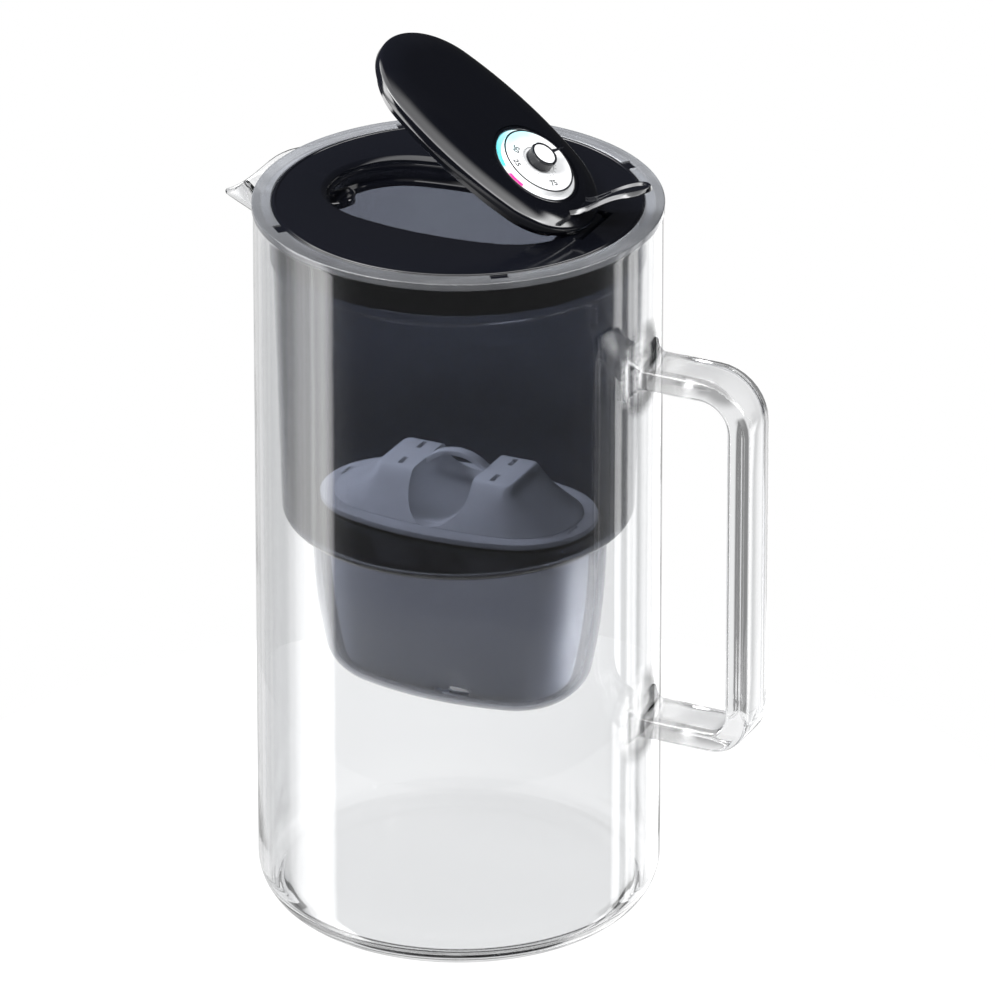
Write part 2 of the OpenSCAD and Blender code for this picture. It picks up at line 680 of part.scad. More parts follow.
// Thumb tongue: a strip along a bent path, given by four control points in the flap's plane
tongue_path = [[hinge_x - 11, edge_z + 1.4], [hinge_x - 1.5, edge_z + 2.5],
               [hinge_x - 4.5, edge_z + 0.55 * tongue_h], [hinge_x + 8, edge_z + tongue_h]];
tongue_root = 9;                         // how much wider each side starts
tongue_t = 1.5;                          // half thickness at the root
root_end = 0.4;                          // along the path, 0 to 1
tip_at = 0.85;                           // where the round end starts
function bezier(p, t) = pow(1 - t, 3) * p[0] + 3 * t * pow(1 - t, 2) * p[1]
    + 3 * t * t * (1 - t) * p[2] + t * t * t * p[3];
function bezier_dir(p, t) = let (d = 3 * pow(1 - t, 2) * (p[1] - p[0]) + 6 * t * (1 - t) * (p[2] - p[1])
    + 3 * t * t * (p[3] - p[2])) d / norm(d);
function tongue_half(t) = t < root_end ? tongue_w / 2 + tongue_root * pow(1 - t / root_end, 2)
    : t < tip_at ? tongue_w / 2 : tongue_w / 2 * sqrt(1.001 - pow((t - tip_at) / (1 - tip_at), 2));
function tongue_section(t) =
    let (c = bezier(tongue_path, t), d = bezier_dir(tongue_path, t), n = [-d[1], d[0]], m = 16,
         w = tongue_half(t), h = tongue_t - 0.4 * t)
    [for (i = [0:m - 1]) let (q = 360 * i / m, v = w * cos(q), s = h * sin(q) * (1 + 0.25 * abs(cos(q))))
        [c[0] + n[0] * s, v, c[1] + n[1] * s]];
module tongue() loft([for (i = [0:16]) tongue_section(i / 16)]);

module flap_shell() color([0.05, 0.055, 0.07]) opened() {
    boss_r = bezel_r + snug + 1.4;
    difference() {
        union() {
            difference() {
                loft(concat([flap_ring(0.4, flap_z)], crown_rings()));
                intersection() {
                    loft([flap_ring(shell_t, flap_z - over), flap_ring(shell_t, edge_z - 0.4),
                          flap_ring(shell_t + 1.5, edge_z + 0.4),
                          flap_ring(shell_t + 4, edge_z + crown_h - shell_t)]);
                    up_to(mouth_end, flap_z - over, edge_z + crown_h);
                }
            }
            translate([dial_x, 0, well_z - well_t]) cylinder(r = boss_r, h = well_t + 1);
            tongue();
            // Barrel and the web that joins it to the flap's heel
            translate([hinge_x, 0, hinge_z]) rotate([90, 0, 0])
                cylinder(r = barrel_r, h = barrel_l, center = true);
            translate([hinge_x - web_l, -barrel_l / 2, hinge_z + 1])
                cube([web_l, barrel_l, flap_z - hinge_z]);
        }
        translate([dial_x, 0, well_z]) cylinder(r = bezel_r + snug, h = crown_h + edge_h);
        translate([dial_x, 0, well_z - well_t - over])
            cylinder(r = shaft_r + run, h = well_t + 2 * over);
        translate([hinge_x, 0, hinge_z]) rotate([90, 0, 0])
            cylinder(r = pin_r + run, h = barrel_l + over, center = true);
    }
}

function base_oval(inset) = [for (p = flap_oval(inset)) [p[0] + flap_x, p[1]]];
module flap_base() color([0.07, 0.075, 0.09]) opened() {
    plug_end = mouth_end - 0.8;
    low = flap_z - plug_h;
    difference() {
        union() {
            intersection() {
                prism(base_oval(plug_in), low, flap_z);
                up_to(plug_end, low, flap_z);
            }
            intersection() {
                prism(base_oval(shell_t + snug), flap_z - base_t, flap_z + base_t);
                up_to(plug_end, flap_z, flap_z + base_t);
            }
        }
        intersection() {
            prism(base_oval(plug_in + plug_t), low + base_t, flap_z + 2 * base_t);
            up_to(plug_end - plug_t, low, flap_z + 2 * base_t);
        }
    }
}

// ---------------------------------------------------------------- change dial

module dial_bezel() color([0.04, 0.045, 0.06]) on_dial() {
    top = well_z + ring_t + bezel_lip;
    in = bezel_r - bezel_w;
    rotate_extrude() polygon([[in, well_z], [bezel_r, well_z], [bezel_r, top - edge],
        [bezel_r - edge, top], [in + edge, top], [in, top - edge]]);
}
module dial_colour_ring() color([0.93, 0.95, 0.97]) on_dial() translate([0, 0, well_z])
    difference() {
        cylinder(r = bezel_r - bezel_w - snug, h = ring_t);
        translate([0, 0, -over]) cylinder(r = face_r - face_lap, h = ring_t + 2 * over);
    }
module dial_face() color([0.97, 0.97, 0.98]) on_dial() difference() {
    hub = face_r - face_lap - snug;
    rotate_extrude() polygon([[0, well_z], [hub, well_z], [hub, well_z + ring_t],
        [face_r, well_z + ring_t], [face_r, face_z - 0.3], [face_r - 0.3, face_z], [0, face_z]]);
    translate([0, 0, well_z - over]) cylinder(r = shaft_r + run, h = face_z - well_z + 2 * over);
    // Shallow dish under the knob
    translate([0, 0, face_z - dish_t]) cylinder(r = knob_r + 1.2, h = dish_t + over);
}
module dial_knob() color([0.03, 0.03, 0.04]) on_dial() {
    low = face_z - dish_t + 0.2;
    top = face_z + knob_h - cap_h;
    difference() {
        union() {
            rotate_extrude() polygon([[0, low], [knob_r - 0.2, low], [knob_r, low + edge],
                [knob_r, top - 0.2], [ring_r, top], [0, top]]);
            translate([0, 0, well_z - well_t - 0.1])
                cylinder(r = shaft_r, h = low - well_z + well_t + 0.2);
            translate([0, 0, wheel_z]) cylinder(r = drive_r, h = low - wheel_z);
        }
        translate([0, 0, wheel_z - over]) cylinder(r = screw_r, h = screw_l + over);
    }
}
module dial_cap() color([0.96, 0.96, 0.97]) on_dial()
    translate([0, 0, face_z + knob_h - cap_h]) cylinder(r = mark_r, h = cap_h);
module dial_pointer() color([0.02, 0.02, 0.02]) on_dial()
    translate([0, 0, face_z + knob_h - cap_h]) {
        difference() {
            cylinder(r = ring_r, h = mark_h);
            translate([0, 0, -over]) cylinder(r = mark_r, h = mark_h + 2 * over);
        }
        rotate([0, 0, mark_a]) linear_extrude(mark_h)
            polygon([[mark_r + snug, -mark_w / 2], [mark_r + mark_l, -mark_tip / 2],
                [mark_r + mark_l, mark_tip / 2], [mark_r + snug, mark_w / 2]]);
    }
module detent_wheel() color([0.85, 0.85, 0.82]) on_dial() translate([0, 0, wheel_z]) difference() {
    linear_extrude(wheel_t) polygon([for (i = [0:2 * clicks - 1])
        let (a = 180 * i / clicks, r = wheel_r - (i % 2 == 0 ? tooth_h : 0)) [r * cos(a), r * sin(a)]]);
    translate([0, 0, -over]) cylinder(r = drive_r + snug / 2, h = wheel_t + 2 * over);
}
module click_spring() color([0.75, 0.76, 0.78]) on_dial() {
    translate([spring_x, -spring_l, wheel_z]) cube([spring_t, spring_l + 1, wheel_t]);
    translate([spring_x, 1 - spring_l - spring_foot, wheel_z])
        cube([spring_foot, spring_foot, well_z - well_t - wheel_z]);
    translate([spring_x - nib_in, 0, wheel_z]) cylinder(r = nib_r, h = wheel_t);
}
module dial_washer() color([0.8, 0.8, 0.82]) on_dial()
    translate([0, 0, wheel_z - washer_t]) difference() {
        cylinder(r = head_r + 0.4, h = washer_t);
        translate([0, 0, -over]) cylinder(r = screw_r + snug, h = washer_t + 2 * over);
    }
module dial_screw() color([0.8, 0.8, 0.82]) on_dial() translate([0, 0, wheel_z - washer_t]) {
    difference() {
        translate([0, 0, -head_t]) rotate_extrude() polygon([[0, 0], [head_r - edge, 0],
            [head_r, edge], [head_r, head_t], [0, head_t]]);
        for (a = [0, 90]) rotate([0, 0, a]) translate([-cross_l / 2, -cross_w / 2, -head_t - over])
            cube([cross_l, cross_w, over + cross_w]);
    }
    cylinder(r = screw_r - snug / 2, h = washer_t + screw_l - 0.4);
}

glass_jug();
glass_handle();
hopper();
lid();
hinge_pin();
flap_shell();
flap_base();
dial_bezel();
dial_colour_ring();
dial_face();
dial_knob();
dial_cap();
dial_pointer();
dial_washer();
dial_screw();
detent_wheel();
click_spring();
cartridge_body();
cartridge_cap();
cartridge_seal();
inlet_screen();
filter_media();
outlet_screen();
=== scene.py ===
import bpy
import bmesh
from math import asin, atan2, cos, pi, radians, sin, sqrt, tan
import numpy as np
from mathutils import Matrix, Vector


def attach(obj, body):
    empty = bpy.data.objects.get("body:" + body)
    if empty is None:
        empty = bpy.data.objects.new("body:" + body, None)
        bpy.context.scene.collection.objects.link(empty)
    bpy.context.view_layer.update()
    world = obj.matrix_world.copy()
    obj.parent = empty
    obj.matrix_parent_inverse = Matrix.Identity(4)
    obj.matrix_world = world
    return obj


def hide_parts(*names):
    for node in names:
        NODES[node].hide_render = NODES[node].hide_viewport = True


# Lengths are in millimetres and become metres when a mesh is made.
MM = 0.001

# Jug
JUG_R, JUG_H, GLASS, FLOOR_T, FOOT_R = 70.0, 260.0, 2.8, 6.5, 16.0
BORE_R = JUG_R - GLASS
BAR_W, BAR_T, BAR_EDGE, FINGER_GAP = 19.0, 8.4, 2.4, 35.0
HANDLE_TOP, HANDLE_H, BEND_TOP, BEND_LOW, FLARE, FLARE_L = 217.3, 139.8, 10.0, 6.0, 3.0, 4.2
ROOT_Z = (HANDLE_TOP - BAR_T / 2, HANDLE_TOP - HANDLE_H + BAR_T / 2)

# Hopper and pocket
FLANGE_T, FLANGE_OVER, WALL, GAP = 2.6, 0.45, 2.0, 2.9
COLLAR_H, COLLAR_STEP, HOPPER_FLOOR, DRAFT, HOPPER_R = 15.0, 0.9, 148.0, 1.5, 6.0
POCKET_X, POCKET_A, POCKET_B, POCKET_H = -0.2, 53.2, 34.0, 68.0
POCKET_TAPER, POCKET_R, POCKET_BOW = 8.0, 13.0, 2.4
FLANGE_Z = JUG_H + FLANGE_T
FLANGE_R = JUG_R + FLANGE_OVER
COLLAR_R = BORE_R - GAP
COLLAR_Z = JUG_H - COLLAR_H
LOOSE = 0.3
SKIRT_R = COLLAR_R - WALL - LOOSE
PLATE_T = 2.3
LID_R = FLANGE_R - 6.6 - LOOSE
SEAT_R = LID_R + LOOSE
SEAT_Z = FLANGE_Z - PLATE_T
WALL_R = COLLAR_R - COLLAR_STEP
UNDER_Z = HOPPER_FLOOR - WALL
LOW_R = WALL_R - tan(radians(DRAFT)) * (COLLAR_Z - UNDER_Z)
POCKET_Z = HOPPER_FLOOR - POCKET_H

# Lid and flap
RECESS_Z = SEAT_Z - LOOSE
FLAP_A, FLAP_B, FLAP_R, FLAP_GAP, FLAP_X = 46.5, 28.2, 26.0, 2.5, 0.3
EDGE_H, CROWN_H, SHELL_T, CROWN_W = 3.4, 3.0, 2.0, 11.0
FLAP_Z = RECESS_Z + 0.6
EDGE_Z = FLAP_Z + EDGE_H
MOUTH_END = FLAP_X + 40.7
HINGE_X = FLAP_X + FLAP_A + 0.2
HINGE_Z = RECESS_Z - 1
OPEN = radians(35.5)

# Dial
DIAL_X = FLAP_X + 19.4
WELL_Z = EDGE_Z + 0.9
BEZEL_R, BEZEL_W, FACE_R, RING_T, FACE_RISE, KNOB_R, KNOB_H = 17.0, 1.4, 13.8, 1.4, 2.2, 5.0, 3.8
FACE_Z = WELL_Z + RING_T + FACE_RISE
SHAFT_HOLE_R, MARK_R, BUTTON_TOP = 2.26, KNOB_R * 0.83, FACE_Z + KNOB_H - 0.4

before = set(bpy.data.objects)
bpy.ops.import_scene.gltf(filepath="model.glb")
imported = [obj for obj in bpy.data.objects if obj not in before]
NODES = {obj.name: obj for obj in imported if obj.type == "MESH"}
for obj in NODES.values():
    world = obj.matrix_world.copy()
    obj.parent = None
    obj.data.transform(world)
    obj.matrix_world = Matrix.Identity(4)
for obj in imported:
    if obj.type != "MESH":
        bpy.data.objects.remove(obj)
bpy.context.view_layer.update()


def feed(tree, value, inlet):
    """Links a socket, or a node's first output, to an input, or sets the input's plain value."""
    if isinstance(value, bpy.types.Node):
        value = value.outputs[0]
    if isinstance(value, bpy.types.NodeSocket):
        tree.links.new(value, inlet)
    else:
        inlet.default_value = value


def node(tree, kind, links=(), **settings):
    """Adds a node; links are (its input, what feeds it)."""
    n = tree.nodes.new(kind)
    for key, value in settings.items():
        setattr(n, key, value)
    for name, value in links:
        feed(tree, value, n.inputs[name])
    return n


def calc(tree, operation, a, b=0.0):
    return node(tree, "ShaderNodeMath", [(0, a), (1, b)], operation=operation).outputs[0]


def span(tree, value, low, high, at_low=0.0, at_high=1.0, **settings):
    """Maps low to at_low and high to at_high, and holds them beyond."""
    return node(tree, "ShaderNodeMapRange",
                [("Value", value), ("From Min", low), ("From Max", high), ("To Min", at_low),
                 ("To Max", at_high)], **settings).outputs[0]


# -------------------- shapes

def parts_of_turn(n):
    return (np.arange(n) + 0.5) * 2 * pi / n


def level_ring(x, y, z):
    return np.c_[x, y, np.full(len(x), float(z))]


def circle(r, z, n=192, cx=0.0):
    t = parts_of_turn(n)
    return level_ring(cx + r * np.cos(t), r * np.sin(t), z)


def oval(a, b, r, z, n=192, cx=0.0):
    """Four tangent arcs, with half axes a and b and end radius r, by the direction of the normal."""
    side = (a * a - 2 * a * r + b * b) / (2 * (b - r))
    turn = atan2(side - b, a - r)
    t = parts_of_turn(n)
    c, s = np.cos(t), np.sin(t)
    q = np.arctan2(abs(s), abs(c))
    end = q < turn
    x = np.where(end, a - r + r * np.cos(q), side * np.cos(q)) * np.sign(c)
    y = np.where(end, r * np.sin(q), side * np.sin(q) - side + b) * np.sign(s)
    return level_ring(x + cx, y, z)


def rounded(angle, x, y, r):
    """Points of a rectangle's outline with half sides x and y and corners of radius r."""
    c, s = np.cos(angle), np.sin(angle)
    return np.sign(c) * (x - r) + r * c, np.sign(s) * (y - r) + r * s


def oblong(a, b, r, z, n=192, cx=0.0):
    x, y = rounded(parts_of_turn(n), a, b, r)
    return level_ring(x + cx, y, z)


def bezier(t, p):
    return (1 - t) ** 3 * p[0] + 3 * t * (1 - t) ** 2 * p[1] + 3 * t * t * (1 - t) * p[2] + t ** 3 * p[3]


def in_scene(name, data):
    ob = bpy.data.objects.new(name, data)
    bpy.context.scene.collection.objects.link(ob)
    return ob


def new_object(name, points, faces):
    mesh = bpy.data.meshes.new(name)
    mesh.from_pydata([tuple(p) for p in np.asarray(points) * MM], [], faces)
    mesh.validate()
    return in_scene(name, mesh)


def evaluated_mesh(ob):
    return bpy.data.meshes.new_from_object(ob.evaluated_get(bpy.context.evaluated_depsgraph_get()))


def bake(ob):
    """Puts what the modifiers make into the object's own mesh."""
    mesh = evaluated_mesh(ob)
    ob.modifiers.clear()
    ob.data = mesh
    return ob


def skin(name, rings, ends=True):
    """Closed skin through rings of equal length. A ring counterclockwise from above and a stack that runs
    upwards on the outside faces outwards; the ends are closed with fans."""
    n = len(rings[0])
    base = (len(rings) - 1) * n
    points = np.concatenate(rings)
    faces = []
    for a in range(0, base, n):
        faces += [(a + j, a + (j + 1) % n, a + n + (j + 1) % n, a + n + j) for j in range(n)]
    if ends:
        c = len(points)
        faces += [(c, (j + 1) % n, j) for j in range(n)]
        faces += [(c + 1, base + j, base + (j + 1) % n) for j in range(n)]
        points = np.concatenate([points, [rings[0].mean(0), rings[-1].mean(0)]])
    return new_object(name, points, faces)


def stack(name, ring, rows, end=None):
    """Closed skin through rings given as rows of inset and height, cut straight at x = end."""
    rings = [ring(inset, z) for inset, z in rows]
    if end is not None:
        for points in rings:
            points[:, 0] = np.minimum(points[:, 0], end)
    return skin(name, rings)


def revolve(name, profile, n=192, cx=0.0):
    """Closed body of revolution: the profile runs from near the axis round the outside and back."""
    return skin(name, [circle(r, z, n, cx) for r, z in profile])


def bend(cx, cz, r, a0, a1, n=8):
    """Points of an arc in a profile."""
    t = np.radians(np.linspace(a0, a1, n + 1))
    return [(cx + r * cos(k), cz + r * sin(k)) for k in t]


def block(name, low, high):
    x0, y0, z0 = low
    x1, y1, z1 = high
    p = [(x, y, z) for z in (z0, z1) for y in (y0, y1) for x in (x0, x1)]
    f = [(0, 2, 3, 1), (4, 5, 7, 6), (0, 1, 5, 4), (2, 6, 7, 3), (0, 4, 6, 2), (1, 3, 7, 5)]
    return new_object(name, p, f)


def turned(points, angle, axis="Z"):
    c, s = cos(angle), sin(angle)
    m = {"Z": [[c, -s, 0], [s, c, 0], [0, 0, 1]], "Y": [[c, 0, s], [0, 1, 0], [-s, 0, c]],
         "X": [[1, 0, 0], [0, c, -s], [0, s, c]]}[axis]
    return np.asarray(points) @ np.array(m).T


def reshape(ob, rule):
    """Moves an object's points by a rule that takes and gives millimetres."""
    co = np.empty(len(ob.data.vertices) * 3)
    ob.data.vertices.foreach_get("co", co)
    co = rule(co.reshape(-1, 3) / MM) * MM
    ob.data.vertices.foreach_set("co", co.ravel())
    ob.data.update()
    return ob


def open_flap(ob):
    """Turns a piece drawn on the closed flap to where the flap stands at rest."""
    pivot = np.array([HINGE_X, 0, HINGE_Z])
    return reshape(ob, lambda p: turned(p - pivot, OPEN, "Y") + pivot)


def join(name, obs):
    """One object out of several that don't meet."""
    points, faces, at = [], [], 0
    for ob in obs:
        points += [tuple(v.co / MM) for v in ob.data.vertices]
        faces += [tuple(i + at for i in f.vertices) for f in ob.data.polygons]
        at = len(points)
        bpy.data.objects.remove(ob)
    return new_object(name, points, faces)


def repeated_blocks(name, count, start, size, shift=(0, 0, 0), first=0.0, turn=0.0):
    """Blocks in a row or round the axis: each is shifted and turned on from the one before."""
    tree = bpy.data.node_groups.get("repeated blocks") or repeated_blocks_tree()
    ob = new_object(name, np.zeros((0, 3)), [])
    m = ob.modifiers.new("blocks", "NODES")
    m.node_group = tree
    values = {"Count": count, "Start": [v * MM for v in start], "Shift": [v * MM for v in shift],
              "Size": [v * MM for v in size], "First": radians(first), "Turn": radians(turn)}
    for item in tree.interface.items_tree:
        if item.item_type == "SOCKET" and item.in_out == "INPUT" and item.name in values:
            m[item.identifier] = values[item.name]
    return bake(ob)


def repeated_blocks_tree():
    tree = bpy.data.node_groups.new("repeated blocks", "GeometryNodeTree")
    for label, kind in (("Count", "Int"), ("Start", "Vector"), ("Shift", "Vector"), ("Size", "Vector"),
                        ("First", "Float"), ("Turn", "Float"), ("Finish", "Material")):
        tree.interface.new_socket(label, in_out="INPUT", socket_type="NodeSocket" + kind)
    tree.interface.new_socket("Geometry", in_out="OUTPUT", socket_type="NodeSocketGeometry")
    given = tree.nodes.new("NodeGroupInput").outputs
    out = tree.nodes.new("NodeGroupOutput")
    index = node(tree, "GeometryNodeInputIndex").outputs[0]
    along = node(tree, "ShaderNodeVectorMath", [(0, given["Shift"]), ("Scale", index)], operation="SCALE")
    place = node(tree, "ShaderNodeVectorMath", [(0, given["Start"]), (1, along)], operation="ADD")
    angle = calc(tree, "ADD", calc(tree, "MULTIPLY", index, given["Turn"]), given["First"])
    turn = node(tree, "ShaderNodeVectorRotate", [("Vector", place), ("Angle", angle)], rotation_type="Z_AXIS")
    points = node(tree, "GeometryNodePoints", [("Count", given["Count"]), ("Position", turn)])
    cube = node(tree, "GeometryNodeMeshCube", [("Size", given["Size"])])
    euler = node(tree, "ShaderNodeCombineXYZ", [("Z", angle)])
    way = node(tree, "FunctionNodeEulerToRotation", [("Euler", euler)])
    placed = node(tree, "GeometryNodeInstanceOnPoints", [("Points", points), ("Instance", cube),
                                                         ("Rotation", way)])
    solid = node(tree, "GeometryNodeRealizeInstances", [("Geometry", placed)])
    finished = node(tree, "GeometryNodeSetMaterial", [("Geometry", solid), ("Material", given["Finish"])])
    feed(tree, finished, out.inputs["Geometry"])
    return tree


def combine(ob, tool, how):
    """Adds (UNION), cuts (DIFFERENCE) or keeps (INTERSECT) the tool, and removes it."""
    m = ob.modifiers.new(how, "BOOLEAN")
    m.operation, m.solver, m.object = how, "EXACT", tool
    bake(ob)
    bpy.data.objects.remove(tool)
    return ob


def add(ob, *tools):
    for tool in tools:
        combine(ob, tool, "UNION")
    return ob


def cut(ob, *tools):
    for tool in tools:
        combine(ob, tool, "DIFFERENCE")
    return ob


def finish_piece(ob, body, material, replaces=(), angle=35):
    ob.data.shade_smooth()
    ob.data.set_sharp_from_angle(angle=radians(angle))
    ob.data.materials.clear()
    ob.data.materials.append(material)
    ob.data.name = ob.name
    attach(ob, body)
    if replaces:
        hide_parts(*replaces)
    return ob


# -------------------- finishes

def sockets(group, inputs, outputs):
    """Gives a group its inputs, as name and plain value, and its outputs, all of them numbers."""
    for name, value in inputs:
        group.interface.new_socket(name, in_out="INPUT", socket_type="NodeSocketFloat").default_value = value
    for name in outputs:
        group.interface.new_socket(name, in_out="OUTPUT", socket_type="NodeSocketFloat")
    return group.nodes.new("NodeGroupInput").outputs, group.nodes.new("NodeGroupOutput").inputs


def object_place(tree):
    return node(tree, "ShaderNodeTexCoord").outputs["Object"]


def axes(tree, vector):
    return node(tree, "ShaderNodeSeparateXYZ", [("Vector", vector)]).outputs


def noise(tree, at, scale, detail, **more):
    links = [("Vector", at), ("Scale", scale), ("Detail", detail)] + list(more.items())
    return node(tree, "ShaderNodeTexNoise", links).outputs["Fac"]


def moulded_surface():
    """Fine moulded grain with broad slow unevenness: roughness and height over the surface."""
    g = bpy.data.node_groups.new("moulded surface", "ShaderNodeTree")
    given, out = sockets(g, [("Roughness", 0.3), ("Spread", 0.05), ("Grain Size", 2500.0), ("Wave Size", 40.0)],
                         ["Roughness", "Height"])
    at = object_place(g)
    wave = calc(g, "SUBTRACT", noise(g, at, given["Wave Size"], 2.0), 0.5)
    feed(g, calc(g, "ADD", calc(g, "MULTIPLY", wave, given["Spread"]), given["Roughness"]), out["Roughness"])
    feed(g, noise(g, at, given["Grain Size"], 3.0), out["Height"])
    return g


def soft_marks():
    """Faint wipe marks and dust on polished surfaces: a mask from 0 to 1."""
    g = bpy.data.node_groups.new("soft marks", "ShaderNodeTree")
    given, out = sockets(g, [("Size", 25.0), ("Cover", 0.4)], ["Mask"])
    stretch = node(g, "ShaderNodeMapping", [("Vector", object_place(g)), ("Rotation", (0.3, 0.5, 0.9)),
                                            ("Scale", (1, 3, 1))])
    broad = noise(g, stretch, given["Size"], 5.0, Roughness=0.6)
    feed(g, span(g, broad, calc(g, "SUBTRACT", 1.0, given["Cover"]), 1.0), out["Mask"])
    return g


MOULDED = moulded_surface()
MARKS = soft_marks()


def dress(tree, n, **values):
    """Feeds a node's inputs; an underscore stands for a space in a name."""
    for key, value in values.items():
        feed(tree, value, n.inputs[key.replace("_", " ")])
    return n


def group_node(tree, group, **values):
    n = tree.nodes.new("ShaderNodeGroup")
    n.node_tree = group
    return dress(tree, n, **values)


def moulded(tree, rough, spread, grain, wave):
    """Roughness and height of a moulded surface."""
    return group_node(tree, MOULDED, Roughness=rough, Spread=spread, Grain_Size=grain, Wave_Size=wave).outputs


def material(name):
    m = bpy.data.materials.new(name)
    m.use_nodes = True
    t = m.node_tree
    return m, t, t.nodes["Principled BSDF"]


def bump(tree, height, strength, distance):
    return node(tree, "ShaderNodeBump", [("Strength", strength), ("Distance", distance), ("Height", height)])


def ramp(tree, value, stops):
    """Colour ramp through stops of place and colour."""
    n = node(tree, "ShaderNodeValToRGB", [("Fac", value)])
    e = n.color_ramp.elements
    for i in (0, -1):
        e[i].position, e[i].color = stops[i][0], (*stops[i][1], 1)
    for place, colour in stops[1:-1]:
        e.new(place).color = (*colour, 1)
    return n.outputs[0]


def mix(tree, factor, a, b, **settings):
    n = node(tree, "ShaderNodeMix", [("Factor", factor)], data_type="RGBA", **settings)
    for index, value in ((6, a), (7, b)):
        feed(tree, (*value, 1) if isinstance(value, tuple) else value, n.inputs[index])
    return n.outputs[2]


def lit_through(tree, shader, colour):
    """Lets lamp light pass straight through a clear material, dimmed to colour."""
    path = node(tree, "ShaderNodeLightPath")
    clear = node(tree, "ShaderNodeBsdfTransparent", [("Color", colour)])
    both = node(tree, "ShaderNodeMixShader", [("Fac", path.outputs["Is Shadow Ray"]), (1, shader), (2, clear)])
    feed(tree, both, tree.nodes["Material Output"].inputs["Surface"])


def clear_glass():
    """Base colour darkened where the glass is seen edge on, as painted shade for its dark outlines; less of
    this painted shade in the thick foot, and paler and partly see-through where the handle is fused on.
    """
    m, t, p = material("clear glass")
    at = object_place(t)
    x, _, z = axes(t, at)
    # Painted shade: the base colour darkens towards grazing view angles; the thick foot and the handle's roots
    # get less of it.
    facing = node(t, "ShaderNodeLayerWeight", [("Blend", 0.5)]).outputs["Facing"]
    middle = [(place, (tone, tone * 1.01, tone * 1.025)) for place, tone in ((0.60, 0.68), (0.80, 0.56))]
    painted_edge_shade = ramp(t, facing, [(0.40, (0.925, 0.93, 0.937)), *middle, (0.99, (0.38, 0.39, 0.41))])
    fused = calc(t, "MULTIPLY", span(t, x, 0.066, 0.068), span(t, x, 0.080, 0.074))
    thick = calc(t, "MULTIPLY", calc(t, "MAXIMUM", span(t, z, 0.026, 0.014), fused), 0.62)
    ends = [node(t, "ShaderNodeVectorMath", [(0, at), (1, (JUG_R * MM, 0, end * MM))],
                 operation="DISTANCE").outputs["Value"] for end in ROOT_Z]
    _, height = moulded(t, 0.0, 0.0, 14.0, 8.0)
    dress(t, p, Base_Color=mix(t, thick, painted_edge_shade, (0.96, 0.965, 0.97)),
          Alpha=span(t, calc(t, "MINIMUM", *ends), 0.013, 0.018, 0.45, 1.0),
          Normal=bump(t, height, 0.08, 0.002), Roughness=0.0, IOR=1.47, Transmission_Weight=1.0)
    lit_through(t, p, (0.98, 0.98, 0.98, 1))
    return m


def smoked_plastic():
    """Clear smoke tint, made darker by height as painted shade, most just above the pocket where the
    cartridge's flange is seen through it; the pocket has a satin skin.
    """
    m, t, p = material("smoked plastic")
    at = object_place(t)
    z = axes(t, at)["Z"]
    tint = mix(t, noise(t, at, 18.0, 2.0), (0.148, 0.162, 0.205), (0.172, 0.188, 0.232))
    # Painted shade: the tint is darkened by height, most just above the pocket and less higher up.
    painted_shade_tones = ((0.04, 1), (0.06, 0.5), (0.19, 0.5), (0.40, 0.9), (0.8, 0.9), (1.0, 0.95))
    painted_shade_by_height = ramp(t, span(t, z, 0.140, 0.260), [(place, (tone,) * 3) for place, tone in painted_shade_tones])
    roughness, _ = moulded(t, 0.03, 0.03, 400.0, 30.0)
    dress(t, p, Base_Color=mix(t, 1.0, tint, painted_shade_by_height, blend_type="MULTIPLY"), Roughness=roughness,
          Coat_Weight=span(t, z, 0.150, 0.138), Coat_Roughness=0.28, IOR=1.2, Transmission_Weight=1.0)
    lit_through(t, p, (0.99, 0.99, 1, 1))
    return m


def milky_plastic():
    """The thick rim of a smoked moulding, where the plastic looks pale and cloudy; its colour darkens towards
    the front as painted shade.
    """
    m, t, p = material("milky rim")
    at = object_place(t)
    clouds = ramp(t, noise(t, at, 55.0, 4.0, Distortion=0.6),
                  [(0.32, (0.40, 0.415, 0.445)), (0.68, (0.51, 0.525, 0.56))])
    y = axes(t, at)["Y"]
    roughness, height = moulded(t, 0.16, 0.06, 900.0, 30.0)
    # Painted shade: the colour is scaled down towards the front, at negative Y.
    dress(t, p, Base_Color=mix(t, 1.0, clouds, span(t, y, -0.062, 0.0, 0.36, 0.78), blend_type="MULTIPLY"),
          Roughness=roughness, Normal=bump(t, height, 0.2, 0.00002),
          IOR=1.45, Transmission_Weight=0.66)
    return m


def opaque(name, colour, rough, spread, grain, relief, marks=0.0):
    """Moulded plastic: its grain drives the roughness and a fine bump, and wipe marks lift the roughness."""
    m, t, p = material(name)
    roughness, height = moulded(t, rough, spread, grain, 35.0)
    smears = group_node(t, MARKS, Size=22.0, Cover=0.45)
    worn = tuple(min(1, c * 1.12 + 0.001) for c in colour)
    dress(t, p, Roughness=calc(t, "ADD", roughness, calc(t, "MULTIPLY", smears, marks)),
          Base_Color=mix(t, smears, colour, worn), Normal=bump(t, height, 0.25, relief),
          Coat_Weight=0.0, Coat_Roughness=0.04, IOR=1.5)
    return m


